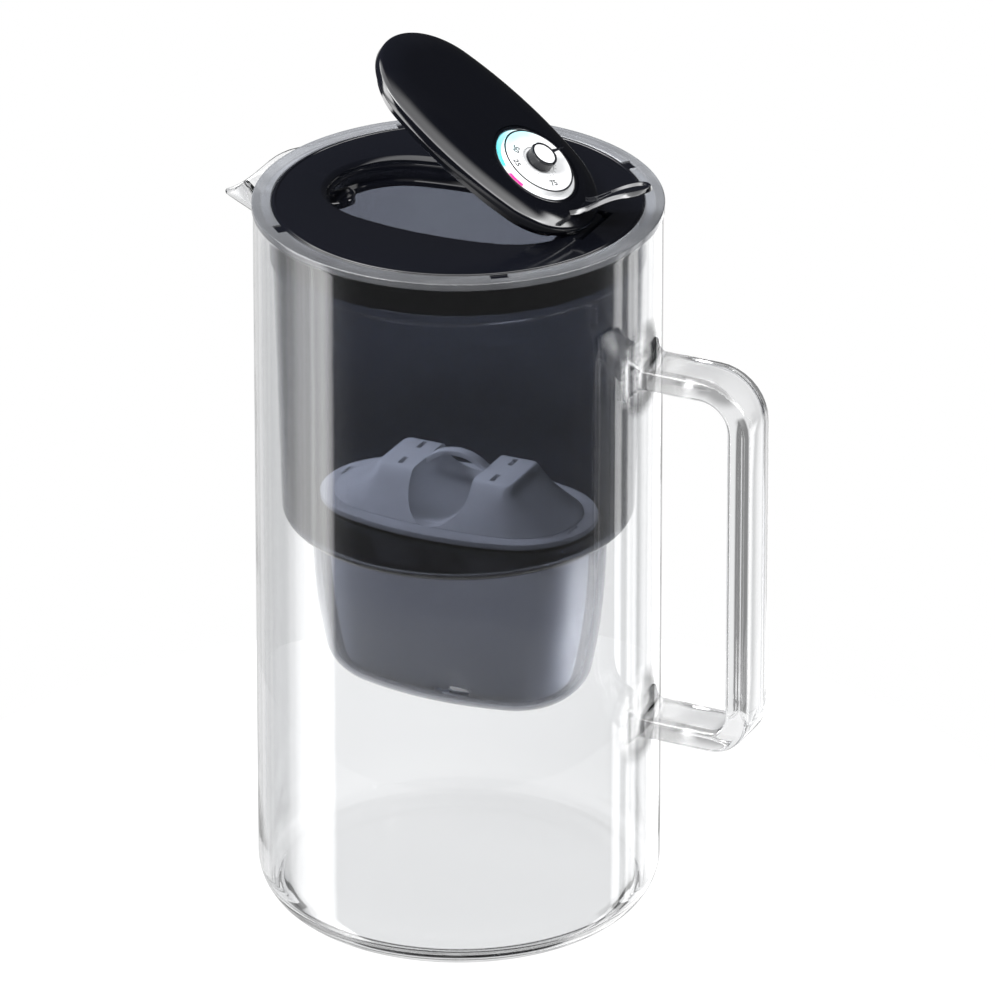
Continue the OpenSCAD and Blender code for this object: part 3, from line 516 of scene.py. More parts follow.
GLASS_CLEAR = clear_glass()
SMOKED = smoked_plastic()
MILKY = milky_plastic()
GLOSS_BLACK = opaque("polished black plastic", (0.0032, 0.0036, 0.0056), 0.09, 0.04, 1800.0, 0.00001, 0.08)
SATIN_BLACK = opaque("satin black plastic", (0.006, 0.0065, 0.009), 0.34, 0.08, 2600.0, 0.00003)
GREY = opaque("grey cartridge plastic", (0.84, 0.85, 0.87), 0.34, 0.1, 2400.0, 0.00003)
WHITE = opaque("white plastic", (0.86, 0.87, 0.88), 0.22, 0.05, 2200.0, 0.00001)
NATURAL = opaque("natural plastic", (0.72, 0.71, 0.67), 0.4, 0.08, 2400.0, 0.00003)
RUBBER = opaque("soft black rubber", (0.02, 0.02, 0.022), 0.62, 0.1, 3000.0, 0.00004)
PRINT_GREY = opaque("grey print", (0.03, 0.033, 0.036), 0.45, 0.05, 2600.0, 0.00001)


def steel():
    m, t, p = material("turned steel")
    fine = noise(t, object_place(t), 900.0, 4.0)
    dress(t, p, Base_Color=(0.62, 0.63, 0.65, 1), Roughness=span(t, fine, 0.0, 1.0, 0.18, 0.34), Metallic=1.0)
    return m


def carbon():
    m, t, p = material("carbon and resin granules")
    cells = node(t, "ShaderNodeTexVoronoi", [("Vector", object_place(t)), ("Scale", 900.0)]).outputs
    dress(t, p, Base_Color=ramp(t, cells["Color"], [(0.72, (0.012, 0.012, 0.013)), (0.78, (0.32, 0.27, 0.18))]),
          Normal=bump(t, cells["Distance"], 1.0, 0.0006), Roughness=0.6)
    return m


def woven_mesh():
    m, t, p = material("woven screen")
    at = object_place(t)
    waves = [node(t, "ShaderNodeTexWave", [("Vector", at), ("Scale", 420.0)], bands_direction=way)
             for way in "XY"]
    top = calc(t, "MAXIMUM", *[wave.outputs["Fac"] for wave in waves])
    dress(t, p, Base_Color=ramp(t, top, [(0.0, (0.25, 0.25, 0.26)), (1.0, (0.74, 0.75, 0.76))]),
          Normal=bump(t, top, 0.8, 0.0003), Roughness=0.7)
    return m


STEEL = steel()
CARBON = carbon()
WOVEN = woven_mesh()


# -------------------- jug

SPOUT_FOOT, SPOUT_REACH = 236.0, 18.4
# Rim of the spout on one side: distance across from the middle, distance out from the axis, height
SPOUT_RIM = np.array([(0.0, 88.4, 247.8), (1.4, 88.1, 248.0), (2.8, 86.4, 248.8), (3.9, 83.6, 250.3),
                      (5.2, 80.9, 252.6), (7.2, 78.9, 254.9), (10.0, 77.6, 256.9), (13.0, 76.3, 258.4),
                      (16.5, 74.6, 259.4), (20.0, 72.3, 259.9), (23.5, 70.3, 260.0), (26.0, 70.0, 260.0)])
SPOUT_ANGLES, SIDE_ANGLE = 104, 150     # how many of the jug's angles cross the spout, and one on its side
FOOT_STEPS, FOOT_RIPPLES, RIPPLE = 40, 5, 0.09
WALL_ROW = FOOT_STEPS + 6               # first row of the straight wall in the outer profile
EVEN_ROW, SIDE_ROW = WALL_ROW + 12, WALL_ROW + 7


def smooth_rim(phi):
    """Distance from the axis and height of the jug's rim by angle from the spout, in radians."""
    across, out, up = SPOUT_RIM.T
    x = np.sqrt(np.maximum(out ** 2 - across ** 2, 0))
    ang = np.arctan2(across, x)
    k = np.clip(abs(phi), 0, ang[-1])
    return np.interp(k, ang, np.hypot(x, across)), np.interp(k, ang, up)


def foot_curve():
    """Rounded foot with faint pressed rings."""
    rows = [(r, 0) for r in (0, 20, 40, 50, 53)]
    for k in np.linspace(0, 1, FOOT_STEPS + 1):
        r = FOOT_R - RIPPLE * sin(pi * k) * (1 + sin(2 * pi * FOOT_RIPPLES * k)) / 2
        a = radians(90 * k - 90)
        rows.append((JUG_R - FOOT_R + r * cos(a), FOOT_R + r * sin(a)))
    return rows


def jug_outside(phi):
    """Outer profile at one angle: from the foot's edge up to the rim, as rows of distance and height."""
    r1, z1 = smooth_rim(phi)
    low = foot_curve() + [(JUG_R, z) for z in np.linspace(FOOT_R, SPOUT_FOOT, 16)[1:]]
    h = z1 - SPOUT_FOOT
    lean = (r1 - JUG_R) / SPOUT_REACH
    p = np.array([(JUG_R, SPOUT_FOOT), (JUG_R, SPOUT_FOOT + h * 0.42),
                  (r1 - (r1 - JUG_R) * 0.52, z1 - h * (0.33 + 0.07 * lean)), (r1, z1)])
    return np.array(low + [tuple(c) for c in bezier(np.linspace(0, 1, 23)[1:, None], p)])


def make_jug():
    """Glass wall as a grid over angle and row, moved inwards by its thickness for the inside."""
    angles = np.radians(np.concatenate([np.arange(-26, 26.01, 0.5), np.arange(27.5, 332.6, 1.5)]))
    rows = [jug_outside(a if abs(a) < 0.5 else 0.5) for a in angles]
    grid = np.array([np.c_[-r[:, 0] * cos(a), -r[:, 0] * sin(a), r[:, 1]] for a, r in zip(angles, rows)])
    w = np.zeros(grid.shape[:2])
    w[:SPOUT_ANGLES, EVEN_ROW:] = 0.5
    for _ in range(2):                             # even out the rim's corners round the spout
        ahead, behind = np.roll(grid, -1, 0), np.roll(grid, 1, 0)
        grid = grid * (1 - w[..., None]) + (ahead + behind) / 2 * w[..., None]
    across = np.roll(grid, -1, 0) - np.roll(grid, 1, 0)
    along = np.gradient(grid, axis=1)
    normal = np.cross(across, along)
    normal /= np.maximum(np.linalg.norm(normal, axis=2, keepdims=True), 1e-9)
    if normal[SIDE_ANGLE, SIDE_ROW] @ (grid[SIDE_ANGLE, SIDE_ROW] * (1, 1, 0)) < 0:
        normal = -normal
    top = WALL_ROW + 1
    reach = np.clip((np.hypot(grid[:, top:, 0], grid[:, top:, 1]) - JUG_R) / SPOUT_REACH, 0, 1)
    thick = np.full(grid.shape[:2], GLASS)
    thick[:, top:] = GLASS - 0.9 * reach           # the pulled spout is thinner
    inner = grid - normal * thick[..., None]
    rim_dir = along[:, -1] / np.linalg.norm(along[:, -1], axis=1, keepdims=True)
    half = thick[:, -1, None] / 2
    mid = grid[:, -1] - normal[:, -1] * half
    roll = [mid + half * (cos(a) * normal[:, -1] + sin(a) * rim_dir)
            for a in np.radians(np.arange(22.5, 180, 22.5))]
    heel, low = 5.2, FLOOR_T + 0.6                 # the corner inside is tighter than the foot outside
    floor = bend(BORE_R - heel, low + heel, heel, 0, -90, 12) + [(50, low), (30, low), (12, low)]
    rings = [grid[:, j] for j in range(1, grid.shape[1])] + roll
    rings += [inner[:, j] for j in range(grid.shape[1] - 1, top, -1)]
    rings += [level_ring(-r * np.cos(angles), -r * np.sin(angles), z) for r, z in [(BORE_R, 36.0)] + floor]
    return skin("jug_glass", rings)


def bar_ring(centre, along, grow):
    """Rounded section of the handle's bar: along is its direction in the XZ plane."""
    x, y = rounded(np.radians(np.arange(5.625, 360, 11.25)), BAR_T / 2 + grow, BAR_W / 2 + grow, BAR_EDGE)
    return np.c_[centre[0] + along[1] * x, y, centre[1] - along[0] * x]


def make_handle():
    """Glass bar from its upper root out, down and back in; it flares where it meets the wall."""
    bar_x = JUG_R + FINGER_GAP + BAR_T / 2
    z1, z0 = ROOT_Z
    r1, r0 = BEND_TOP + BAR_T / 2, BEND_LOW + BAR_T / 2
    root = (68.6, 69.2, 69.8, 70.4, 71.0, 71.8, 72.8, 74.0, 76.0, 84.0)

    def corner(r, z, first, last):
        return [((bar_x - r + r * cos(a), z + r * sin(a)), (sin(a), -cos(a)))
                for a in np.radians(np.arange(first, last, -10))]

    path = [((x, z1), (1.0, 0.0)) for x in (*root, bar_x - r1)] + corner(r1, z1 - r1, 80, -1)
    path += [((bar_x, z), (0.0, -1.0)) for z in np.linspace(z1 - r1, z0 + r0, 8)[1:]]
    path += corner(r0, z0 + r0, -10, -91) + [((x, z0), (-1.0, 0.0)) for x in root[::-1]]
    return skin("handle_glass", [bar_ring((x, z), way, FLARE * max(0.0, 1 - max(0.0, x - JUG_R) / FLARE_L) ** 2)
                                 for (x, z), way in path])


jug = add(make_jug(), make_handle())
finish_piece(jug, "jug", GLASS_CLEAR, ("glass_jug", "glass_handle"), 28)


# -------------------- hopper

# Round dishes with a slit in them in the pocket's long sides
DISH_R, DISH_DEPTH, DISH_X, DISH_Z, DISH_TILT = 27.0, 0.9, 12.9, 13.5, radians(12)


def pocket_ring(z, inside):
    d = max(0.0, HOPPER_FLOOR - z)
    t = POCKET_TAPER * (d / POCKET_H) ** POCKET_BOW + inside
    b = POCKET_B - t
    return oval(POCKET_A - t, b, b - 3, z, cx=POCKET_X)


def pocket_rings(low, top, inside, r):
    """Rings up a pocket's wall from its rounded floor."""
    rings = [pocket_ring(low + r * (1 - sin(t)), inside + r * (1 - cos(t)))
             for t in np.radians(np.linspace(90, 9, 10))]
    return rings + [pocket_ring(z, inside) for z in np.linspace(low + r, top, 16)]


def at_tabs(low, high, shift=0):
    """The same block at the four places round the rim where the lid's tabs are."""
    return [reshape(block("tab", low, high), lambda p: turned(p, radians(a + shift)))
            for a in (52, 132, -132, -52)]


def ball_mesh(r):
    """Cap of a ball that faces +Y, enough of it to cut a dish, closed at the back."""
    rings = []
    for t in np.radians(np.linspace(0.4, 30, 20)):
        p = circle(r * sin(t), r * cos(t), 48)
        rings.append(np.c_[p[:, 0], p[:, 2], -p[:, 1]])
    return skin("ball", rings[::-1])


def slit_mesh(w, h, y0, y1, dx, dz):
    x, z = rounded(parts_of_turn(24), w / 2, h / 2, h / 2)
    return skin("slit", [np.c_[x + dx, np.full(len(x), y), z + dz] for y in (y0, y1)])


def make_hopper():
    heel, step = (LOW_R - HOPPER_R, UNDER_Z + HOPPER_R), BORE_R - LOOSE
    out = bend(*heel, HOPPER_R, -90, 0)
    out += [(WALL_R - 0.02, COLLAR_Z - 1.1), (WALL_R, COLLAR_Z - 1), (COLLAR_R, COLLAR_Z),
            (COLLAR_R, JUG_H - 1.8), (step - 1.6, JUG_H - 1.8), (step, JUG_H - 1.3), (step, JUG_H),
            (FLANGE_R - 0.15, JUG_H), (FLANGE_R, JUG_H + 0.15)]
    out += bend(FLANGE_R - 0.6, FLANGE_Z - 0.6, 0.6, 0, 90, 5)
    out += [(SEAT_R + 0.25, FLANGE_Z), (SEAT_R, FLANGE_Z - 0.25), (SEAT_R, SEAT_Z), (COLLAR_R - WALL, SEAT_Z),
            (COLLAR_R - WALL, COLLAR_Z), (WALL_R - WALL, COLLAR_Z - 1)]
    out += bend(*heel, HOPPER_R - WALL, 0, -90)
    rings = pocket_rings(POCKET_Z, UNDER_Z, 0, POCKET_R)
    rings += [circle(r, z) for r, z in out]
    rings += pocket_rings(POCKET_Z + WALL, HOPPER_FLOOR, WALL, POCKET_R - WALL)[::-1]
    body = skin("hopper_shell", rings)
    tabs = at_tabs((LID_R - 1, -3.1, SEAT_Z), (LID_R + 3.4, 3.1, FLANGE_Z + 1))
    lugs = at_tabs((SKIRT_R - 1, -1.8, COLLAR_Z + 2), (SKIRT_R + 1.5, 1.8, JUG_H), -4)
    half = POCKET_B - POCKET_TAPER * ((POCKET_H - DISH_Z) / POCKET_H) ** POCKET_BOW - 0.8
    for way in (0, pi):
        slit = slit_mesh(8.0, 2.8, 3.0, -2.5, 0.6, -2.4)
        for tool, y in ((ball_mesh(DISH_R), DISH_DEPTH - DISH_R), (slit, 0)):
            reshape(tool, lambda p: turned(p + (0, y, 0), DISH_TILT, "X") + (DISH_X, -half, POCKET_Z + DISH_Z))
            reshape(tool, lambda p: turned(p, way) + (POCKET_X, 0, 0))
            cut(body, tool)
    return cut(body, join("cuts", tabs + lugs))


hopper = make_hopper()
finish_piece(hopper, "hopper", SMOKED, ("hopper",), 30)
hopper.data.materials.append(MILKY)
for face in hopper.data.polygons:
    face.material_index = int(face.center.z > (JUG_H - 0.1) * MM)


# -------------------- cartridge

BODY_Z, BODY_IN, BODY_R, CARTRIDGE_WALL = POCKET_Z + WALL + 1.5, 6.0, 6.0, 1.6
CAP_Z, CAP_A, CAP_B, CAP_T, CAP_END = HOPPER_FLOOR + 0.2, 50.0, 30.5, 2.2, 3.0
CAP_TOP = CAP_Z + CAP_T
HUMP_A, HUMP_B, HUMP_H, HUMP_TOP_A, HUMP_TOP_B = CAP_A - 5, CAP_B - 6, 15.0, 25.0, 10.0
TROUGH_R = 11.3
TROUGH_Z = CAP_TOP + TROUGH_R


def rod(name, r, length, x, y, z, n=64):
    """Cylinder along Y, centred at x, y, z."""
    t = parts_of_turn(n)
    return skin(name, [np.c_[x + r * np.cos(t), np.full(n, k), z + r * np.sin(t)]
                       for k in (y + length / 2, y - length / 2)])


def disc(name, r, x, z0, z1, n):
    """Upright cylinder."""
    return skin(name, [circle(r, z, n, x) for z in (z0, z1)])


def cap_ring(inset, z):
    return oval(CAP_A - inset, CAP_B - inset, CAP_B - CAP_END - inset, z, cx=POCKET_X)


def hump_rings(inset, low):
    """Rings of the humps from their foot at low to their rolled top."""
    foot = [oval(HUMP_A - inset, HUMP_B - inset, HUMP_B - 2 - inset, z, cx=POCKET_X)
            for z in (low, CAP_TOP + 0.3 - inset)]
    rolls = [(1.0, 4.4, 3.0, 3.4), (0.75, 3.2, 3.0, 1.7), (0.6, 2.6, 2.9, 1.0), (0.35, 2.0, 2.8, 0.45),
             (0.0, 1.3, 2.7, 0.12), (-0.6, 0.5, 2.5, 0.0)]
    top = [oblong(HUMP_TOP_A + x - inset, HUMP_TOP_B + y - inset, r, CAP_TOP + HUMP_H - d - inset, cx=POCKET_X)
           for x, y, r, d in rolls]
    side = []
    for k in (0.12, 0.3, 0.5, 0.7, 0.86):
        lean = k + 0.10 * sin(pi * k)
        ring = foot[1] * (1 - k) + top[0] * k
        ring[:, :2] = foot[1][:, :2] * (1 - lean) + top[0][:, :2] * lean
        side.append(ring)
    return foot + side + top


def trough(r):
    above = block("above", (POCKET_X - r, -40, TROUGH_Z), (POCKET_X + r, 40, CAP_Z + 40))
    return add(rod("trough", r, 80, POCKET_X, 0, TROUGH_Z, 96), above)


def strap():
    """Arched finger strap over the trough."""
    half, rise, thick, wide = TROUGH_R + CARTRIDGE_WALL / 2, 5.4, 2.0, 4.0
    r = (half * half + rise * rise) / (2 * rise) - thick / 2
    centre = CAP_TOP + HUMP_H + rise - 0.8 - thick / 2 - r
    end = asin(half / (r + thick / 2))
    u, v = rounded(np.radians(np.arange(11.25, 360, 22.5)), thick / 2, wide / 2, 0.6)
    return skin("strap", [np.c_[POCKET_X + (r + u) * sin(a), v, centre + (r + u) * cos(a)]
                          for a in np.linspace(-end, end, 33)[::-1]])


def make_cap():
    cap = stack("cartridge_top", cap_ring, ((0.3, CAP_Z), (0, CAP_Z + 0.3), (0, CAP_TOP - 0.5),
                                            (0.15, CAP_TOP - 0.15), (0.5, CAP_TOP), (3.0, CAP_TOP)))
    add(cap, skin("hump", hump_rings(0, CAP_Z + 0.8)))
    hollow = cut(skin("hollow", hump_rings(CARTRIDGE_WALL, CAP_Z - 0.5)), trough(TROUGH_R + CARTRIDGE_WALL))
    # Inlet slots in the humps and vents near the ends: middle, half sides, lower and upper height
    holes = [(x, y, 0.9, 2.9, CAP_TOP + 5, CAP_Z + 30) for x in (-17.4, 17.4) for y in (-7.2, 7.2)]
    holes += [(k * 45.8, -k * 5.5, 0.8, 3.6, CAP_TOP - 1, CAP_Z + 10) for k in (-1, 1)]
    slots = [block("slot", (POCKET_X + x - a, y - b, z0), (POCKET_X + x + a, y + b, z1))
             for x, y, a, b, z0, z1 in holes]
    return add(cut(cap, hollow, trough(TROUGH_R), join("slots", slots)), strap())


def make_cartridge():
    rings = pocket_rings(BODY_Z, CAP_Z, BODY_IN, BODY_R)
    rings += pocket_rings(BODY_Z + CARTRIDGE_WALL, CAP_Z, BODY_IN + CARTRIDGE_WALL,
                          BODY_R - CARTRIDGE_WALL)[::-1]
    drains = repeated_blocks("drains", 7, (POCKET_X - 24, 0, BODY_Z + CARTRIDGE_WALL / 2), (2, 22, 4),
                             shift=(8, 0, 0))
    return cut(skin("cartridge_shell", rings), drains)


finish_piece(make_cartridge(), "cartridge", GREY, ("cartridge_body",))
finish_piece(make_cap(), "cartridge", GREY, ("cartridge_cap",), 40)


# -------------------- lid

SKIRT_T, SKIRT_H, MOUTH_Z, MOUTH_T, MOUTH_IN, LEDGE_W = 1.8, 13.0, RECESS_Z - 7.0, 1.6, 2.9, 4.7
PIN_R, BARREL_R, BARREL_L, BOSS_L, HEEL_L = 1.25, 3.0, 22.0, 6.0, 5.6
TUB_END = FLAP_X + FLAP_A + FLAP_GAP + MOUTH_T
RIB_IN, CATCH_X = 20, -48.2


def flap_ring(inset, z):
    return oval(FLAP_A - inset, FLAP_B - inset, FLAP_R - inset, z, cx=FLAP_X)


def recess_ring(inset, z):
    return flap_ring(inset - FLAP_GAP, z)


def make_lid():
    low = SEAT_Z - SKIRT_H
    inner = SKIRT_R - SKIRT_T
    profile = [(RIB_IN, SEAT_Z), (inner, SEAT_Z), (inner, low + 0.4), (inner + 0.4, low), (SKIRT_R - 0.4, low),
               (SKIRT_R, low + 0.4), (SKIRT_R, SEAT_Z), (LID_R, SEAT_Z)]
    profile += bend(LID_R - 0.35, FLANGE_Z - 0.35, 0.35, 0, 90, 4)
    profile += bend(LID_R - 1.0, FLANGE_Z - 0.18, 0.45, 25, 155, 10) + [(LID_R - 3, FLANGE_Z)]
    lid = revolve("lid_plate", profile, 240)

    # Round the mouth: the recess's tub, the collar below it, the hinge's knuckles and the ribs
    add(lid, stack("tub", recess_ring, ((-MOUTH_T, RECESS_Z - 1.8), (-MOUTH_T, SEAT_Z + 0.5))),
        stack("collar", recess_ring, ((MOUTH_IN - MOUTH_T, MOUTH_Z), (MOUTH_IN - MOUTH_T, RECESS_Z - 0.5)),
              MOUTH_END + MOUTH_T))
    for side in (-1, 1):
        y = side * (BARREL_L / 2 + LOOSE + BOSS_L / 2)
        add(lid, rod("boss", BARREL_R, BOSS_L, HINGE_X, y, HINGE_Z),
            block("root", (HINGE_X - BARREL_R, y - BOSS_L / 2, HINGE_Z),
                  (HINGE_X + BARREL_R, y + BOSS_L / 2, SEAT_Z + 0.5)))
    tabs = at_tabs((LID_R - 1, -2.8, SEAT_Z), (LID_R + 3.1, 2.8, FLANGE_Z - 0.5))
    lugs = at_tabs((SKIRT_R - 0.5, -1.5, low + 1.4), (SKIRT_R + 1.15, 1.5, low + 9.4), -4)
    add(lid, repeated_blocks("ribs", 7, ((RIB_IN + SKIRT_R) / 2 - 0.05, 0, SEAT_Z - 3.4),
                             (SKIRT_R - RIB_IN, MOUTH_T, 7.2), first=45, turn=45), join("tabs", tabs + lugs))

    recess = ((2.1, RECESS_Z), (1.98, RECESS_Z + 0.12), (1.9, FLANGE_Z - 1.5), (1.8, FLANGE_Z - 1.15),
              (1.5, FLANGE_Z - 0.88), (0.1, FLANGE_Z - 0.16), (-0.15, FLANGE_Z - 0.06), (-0.45, FLANGE_Z),
              (-0.45, FLANGE_Z + 2))
    mouth = ((LEDGE_W, MOUTH_Z - 1), (LEDGE_W, MOUTH_Z + 1.7), (LEDGE_W - 0.3, MOUTH_Z + 2.0),
             (MOUTH_IN, MOUTH_Z + 2.0), (MOUTH_IN, RECESS_Z - 0.5), (MOUTH_IN - 0.15, RECESS_Z - 0.15),
             (MOUTH_IN - 0.5, RECESS_Z), (MOUTH_IN - 0.5, RECESS_Z + 1))
    y = BARREL_L / 2 + LOOSE
    cut(lid, stack("recess", recess_ring, recess), stack("mouth", recess_ring, mouth, MOUTH_END),
        block("hinge", (HINGE_X - BARREL_R - LOOSE, -y, HINGE_Z - 6), (TUB_END + LOOSE, y, HINGE_Z + 6)),
        block("heel", (HINGE_X, -y - 1, RECESS_Z), (HINGE_X + HEEL_L, y + 1, FLANGE_Z + 1)),
        rod("bore", PIN_R + 0.03, BARREL_L + 12, HINGE_X, 0, HINGE_Z, 48))

    bowl = ((8.3, 0), (8.3, 2.1), (8.15, 2.35), (7.75, 2.4), (7.45, 2.1), (6.5, 1.6), (4.0, 1.2))
    catch = skin("catch", [circle(r, MOUTH_Z + up, 96, CATCH_X) for r, up in bowl])
    within = MOUTH_IN - MOUTH_T / 2
    combine(catch, stack("inside", recess_ring, ((within, MOUTH_Z - 1), (within, RECESS_Z))), "INTERSECT")
    return add(lid, catch)


finish_piece(make_lid(), "lid", GLOSS_BLACK, ("lid",), 30)


# -------------------- flap

# Half of the tongue's section, from under its middle round the edge to the dish on top, as rows of distance
# in from the edge and height
TONGUE_SECTION = np.array([(4, -1.4), (2.4, -1.4), (0.8, -1.36), (0.35, -1.27), (0.1, -1.12), (0, -0.9),
                           (0.08, -0.68), (0.3, -0.3), (0.6, 0.2), (0.85, 0.62), (1.05, 0.84), (1.3, 0.92),
                           (1.6, 0.86), (2.0, 0.55), (2.4, 0.0), (3.0, -0.45), (4, -0.6)])
TONGUE_HALF, TONGUE_TIP = 6.5, 0.15


def crown(u):
    return CROWN_H * (1 - (1 - u / CROWN_W) ** 2)


def tongue():
    """Thumb tongue, a strip that bends up out of the crown beside the hinge."""
    p = np.array([(HINGE_X - 11, EDGE_Z + 0.5), (HINGE_X - 1.5, EDGE_Z + 2.5), (HINGE_X - 4.5, EDGE_Z + 14.85),
                  (HINGE_X + 8, EDGE_Z + 27.0)])
    rings = []
    for t in np.concatenate([np.linspace(0, 0.9, 31), 0.9 + 0.1 * np.sin(np.radians(np.linspace(9, 90, 10)))]):
        c = bezier(t, p)
        d = 3 * (1 - t) ** 2 * (p[1] - p[0]) + 6 * t * (1 - t) * (p[2] - p[1]) + 3 * t * t * (p[3] - p[2])
        d /= np.linalg.norm(d)
        half = TONGUE_HALF + (3 * (1 - t / 0.4) ** 2 if t < 0.4 else 0)
        if t > 1 - TONGUE_TIP:
            half = TONGUE_HALF * sqrt(max(0.001, 1.001 - ((t - 1 + TONGUE_TIP) / TONGUE_TIP) ** 2))
        inwards = TONGUE_SECTION[:, 0] * min(1.0, half / 4)
        up = TONGUE_SECTION[:, 1] * (0.3 + 0.7 * min(1.0, t / 0.3) - 0.25 * t)
        across, s = np.concatenate([half - inwards, inwards[::-1] - half]), np.concatenate([up, up[::-1]])
        rings.append(np.c_[c[0] - d[1] * s, across, c[1] + d[0] * s])
    return skin("tongue", rings)


def make_flap():
    rows = [(0.4, FLAP_Z), (0.12, FLAP_Z + 0.12), (0, FLAP_Z + 0.4)]
    rows += [(u, EDGE_Z + d) for u, d in ((0, -0.9), (0.03, -0.65), (0.11, -0.4), (0.24, -0.16), (0.42, 0.06),
                                          (0.62, 0.26))]
    rows += [(u, EDGE_Z + crown(u)) for u in (0.85, 1.2, 1.8, 2.5, 3.3, 4.2, 5.2, 6.3, 7.5, 8.8, 10.0, CROWN_W)]
    flap = stack("flap_cover", flap_ring, rows)
    cut(flap, stack("hollow", flap_ring, ((SHELL_T, FLAP_Z - 1), (SHELL_T, EDGE_Z - 0.4),
                                          (SHELL_T + 1.5, EDGE_Z + 0.4),
                                          (SHELL_T + 4, EDGE_Z + CROWN_H - SHELL_T)), MOUTH_END))
    add(flap, disc("well", BEZEL_R + 1.45, DIAL_X, WELL_Z - 1.6, WELL_Z + 0.6, 128), tongue(),
        rod("barrel", BARREL_R, BARREL_L, HINGE_X, 0, HINGE_Z),
        block("web", (HINGE_X - 5, -BARREL_L / 2, HINGE_Z + 1.25), (HINGE_X, BARREL_L / 2, FLAP_Z + 1)))
    cut(flap, disc("seat", BEZEL_R + 0.05, DIAL_X, WELL_Z, WELL_Z + 9, 128),
        disc("shaft", SHAFT_HOLE_R, DIAL_X, WELL_Z - 3, WELL_Z + 1, 48),
        rod("bore", PIN_R + 0.06, BARREL_L + 2, HINGE_X, 0, HINGE_Z, 48))
    return open_flap(flap)


def make_plug():
    low = FLAP_Z - 3.6
    rows = ((3.2, low), (2.8, low + 0.4), (2.8, FLAP_Z - 1.4), (2.05, FLAP_Z - 1.4), (2.05, FLAP_Z + 1.4),
            (4.4, FLAP_Z + 1.4), (4.4, low + 1.4))
    return open_flap(stack("flap_plug", flap_ring, rows, MOUTH_END - 0.8))


finish_piece(make_flap(), "flap", GLOSS_BLACK, ("flap_shell",), 32)
finish_piece(make_plug(), "flap", GLOSS_BLACK, ("flap_base",), 30)


# -------------------- change dial

def dial_material(name, ring):
    """White printed plastic; on the ring a cyan and a magenta field, on the disc a faint cyan edge."""
    m, t, p = material(name)
    pivot = np.array([HINGE_X, 0, HINGE_Z])
    centre = turned(np.array([DIAL_X, 0, WELL_Z]) - pivot, OPEN, "Y") + pivot
    local = node(t, "ShaderNodeMapping", [("Vector", object_place(t)), ("Location", tuple(centre * MM)),
                                          ("Rotation", (0, OPEN, 0))], vector_type="TEXTURE")
    x, y, _ = axes(t, local)
    white, pale, cyan, magenta = (0.9, 0.91, 0.92), (0.35, 0.8, 0.88), (0.02, 0.62, 0.72), (0.78, 0.01, 0.26)
    if ring:
        stops = [(0.0, pale), (0.10, (0.12, 0.7, 0.8)), (0.17, cyan), (0.19, white),
                 (0.205, (0.95, 0.75, 0.82)), (0.215, magenta), (0.278, magenta), (0.281, white), (0.9, white),
                 (1.0, pale)]
    else:
        edge = (0.40, 0.80, 0.86)
        stops = [(0.0, edge), (0.09, (0.60, 0.87, 0.90)), (0.15, white), (0.82, white),
                 (0.90, (0.5, 0.84, 0.88)), (1.0, edge)]
    colour = ramp(t, span(t, calc(t, "ARCTAN2", y, x), -pi, pi), stops)
    if not ring:
        flat = node(t, "ShaderNodeVectorMath", [(0, local), (1, (1, 1, 0))], operation="MULTIPLY")
        far = node(t, "ShaderNodeVectorMath", [(0, flat)], operation="LENGTH").outputs["Value"]
        colour = mix(t, span(t, far, 0.0075, 0.0115), white, colour)
    roughness, height = moulded(t, 0.16, 0.04, 2600.0, 40.0)
    dress(t, p, Base_Color=colour, Roughness=roughness,
          Normal=bump(t, height, 0.15, 0.00001))
    return m


def dial_piece(name, profile, mat, node_name):
    return finish_piece(open_flap(revolve(name, profile, 128, DIAL_X)), "dial", mat, (node_name,), 30)


def hollow_ring(name, profile, mat, node_name):
    """A ring: the profile is a closed outline, counterclockwise with distance across and height up."""
    ob = skin(name, [circle(r, z, 128, DIAL_X) for r, z in profile + profile[:1]], ends=False)
    bm = bmesh.new()
    bm.from_mesh(ob.data)
    bmesh.ops.remove_doubles(bm, verts=bm.verts, dist=1e-7)
    bm.to_mesh(ob.data)
    bm.free()
    return finish_piece(open_flap(ob), "flap", mat, (node_name,) if node_name else (), 30)


def arc_strip(name, r0, r1, a0, a1, z0, z1):
    """Flat strip along part of a circle."""
    return skin(name, [np.array([(DIAL_X + r * cos(a), r * sin(a), z)
                                 for r, z in ((r0, z0), (r0, z1), (r1, z1), (r1, z0))])
                       for a in np.radians(np.linspace(a0, a1, 33))])


def make_mark():
    """Pointer on the button: a ring with two gaps, and a tick that tapers outwards."""
    z0, z1 = BUTTON_TOP, BUTTON_TOP + 0.5
    r0, r1 = MARK_R, KNOB_R - 0.1
    way = radians(77)
    out = np.array([cos(way), sin(way)])
    side = np.array([-out[1], out[0]])
    tick = []
    for r, w in ((r1 - 0.3, 1.3), (r1 + 1.5, 0.95), (r0 + 7, 0.3)):
        near, far = out * r - side * w / 2, out * r + side * w / 2
        tick.append(np.array([(DIAL_X + p[0], p[1], z)
                              for p, z in ((near, z0), (far, z0), (far, z1), (near, z1))]))
    upper = add(arc_strip("upper", r0, r1, 4, 163, z0, z1), skin("tick", tick))
    return open_flap(join("dial_mark", [upper, arc_strip("lower", r0, r1, 186, 343, z0, z1)]))


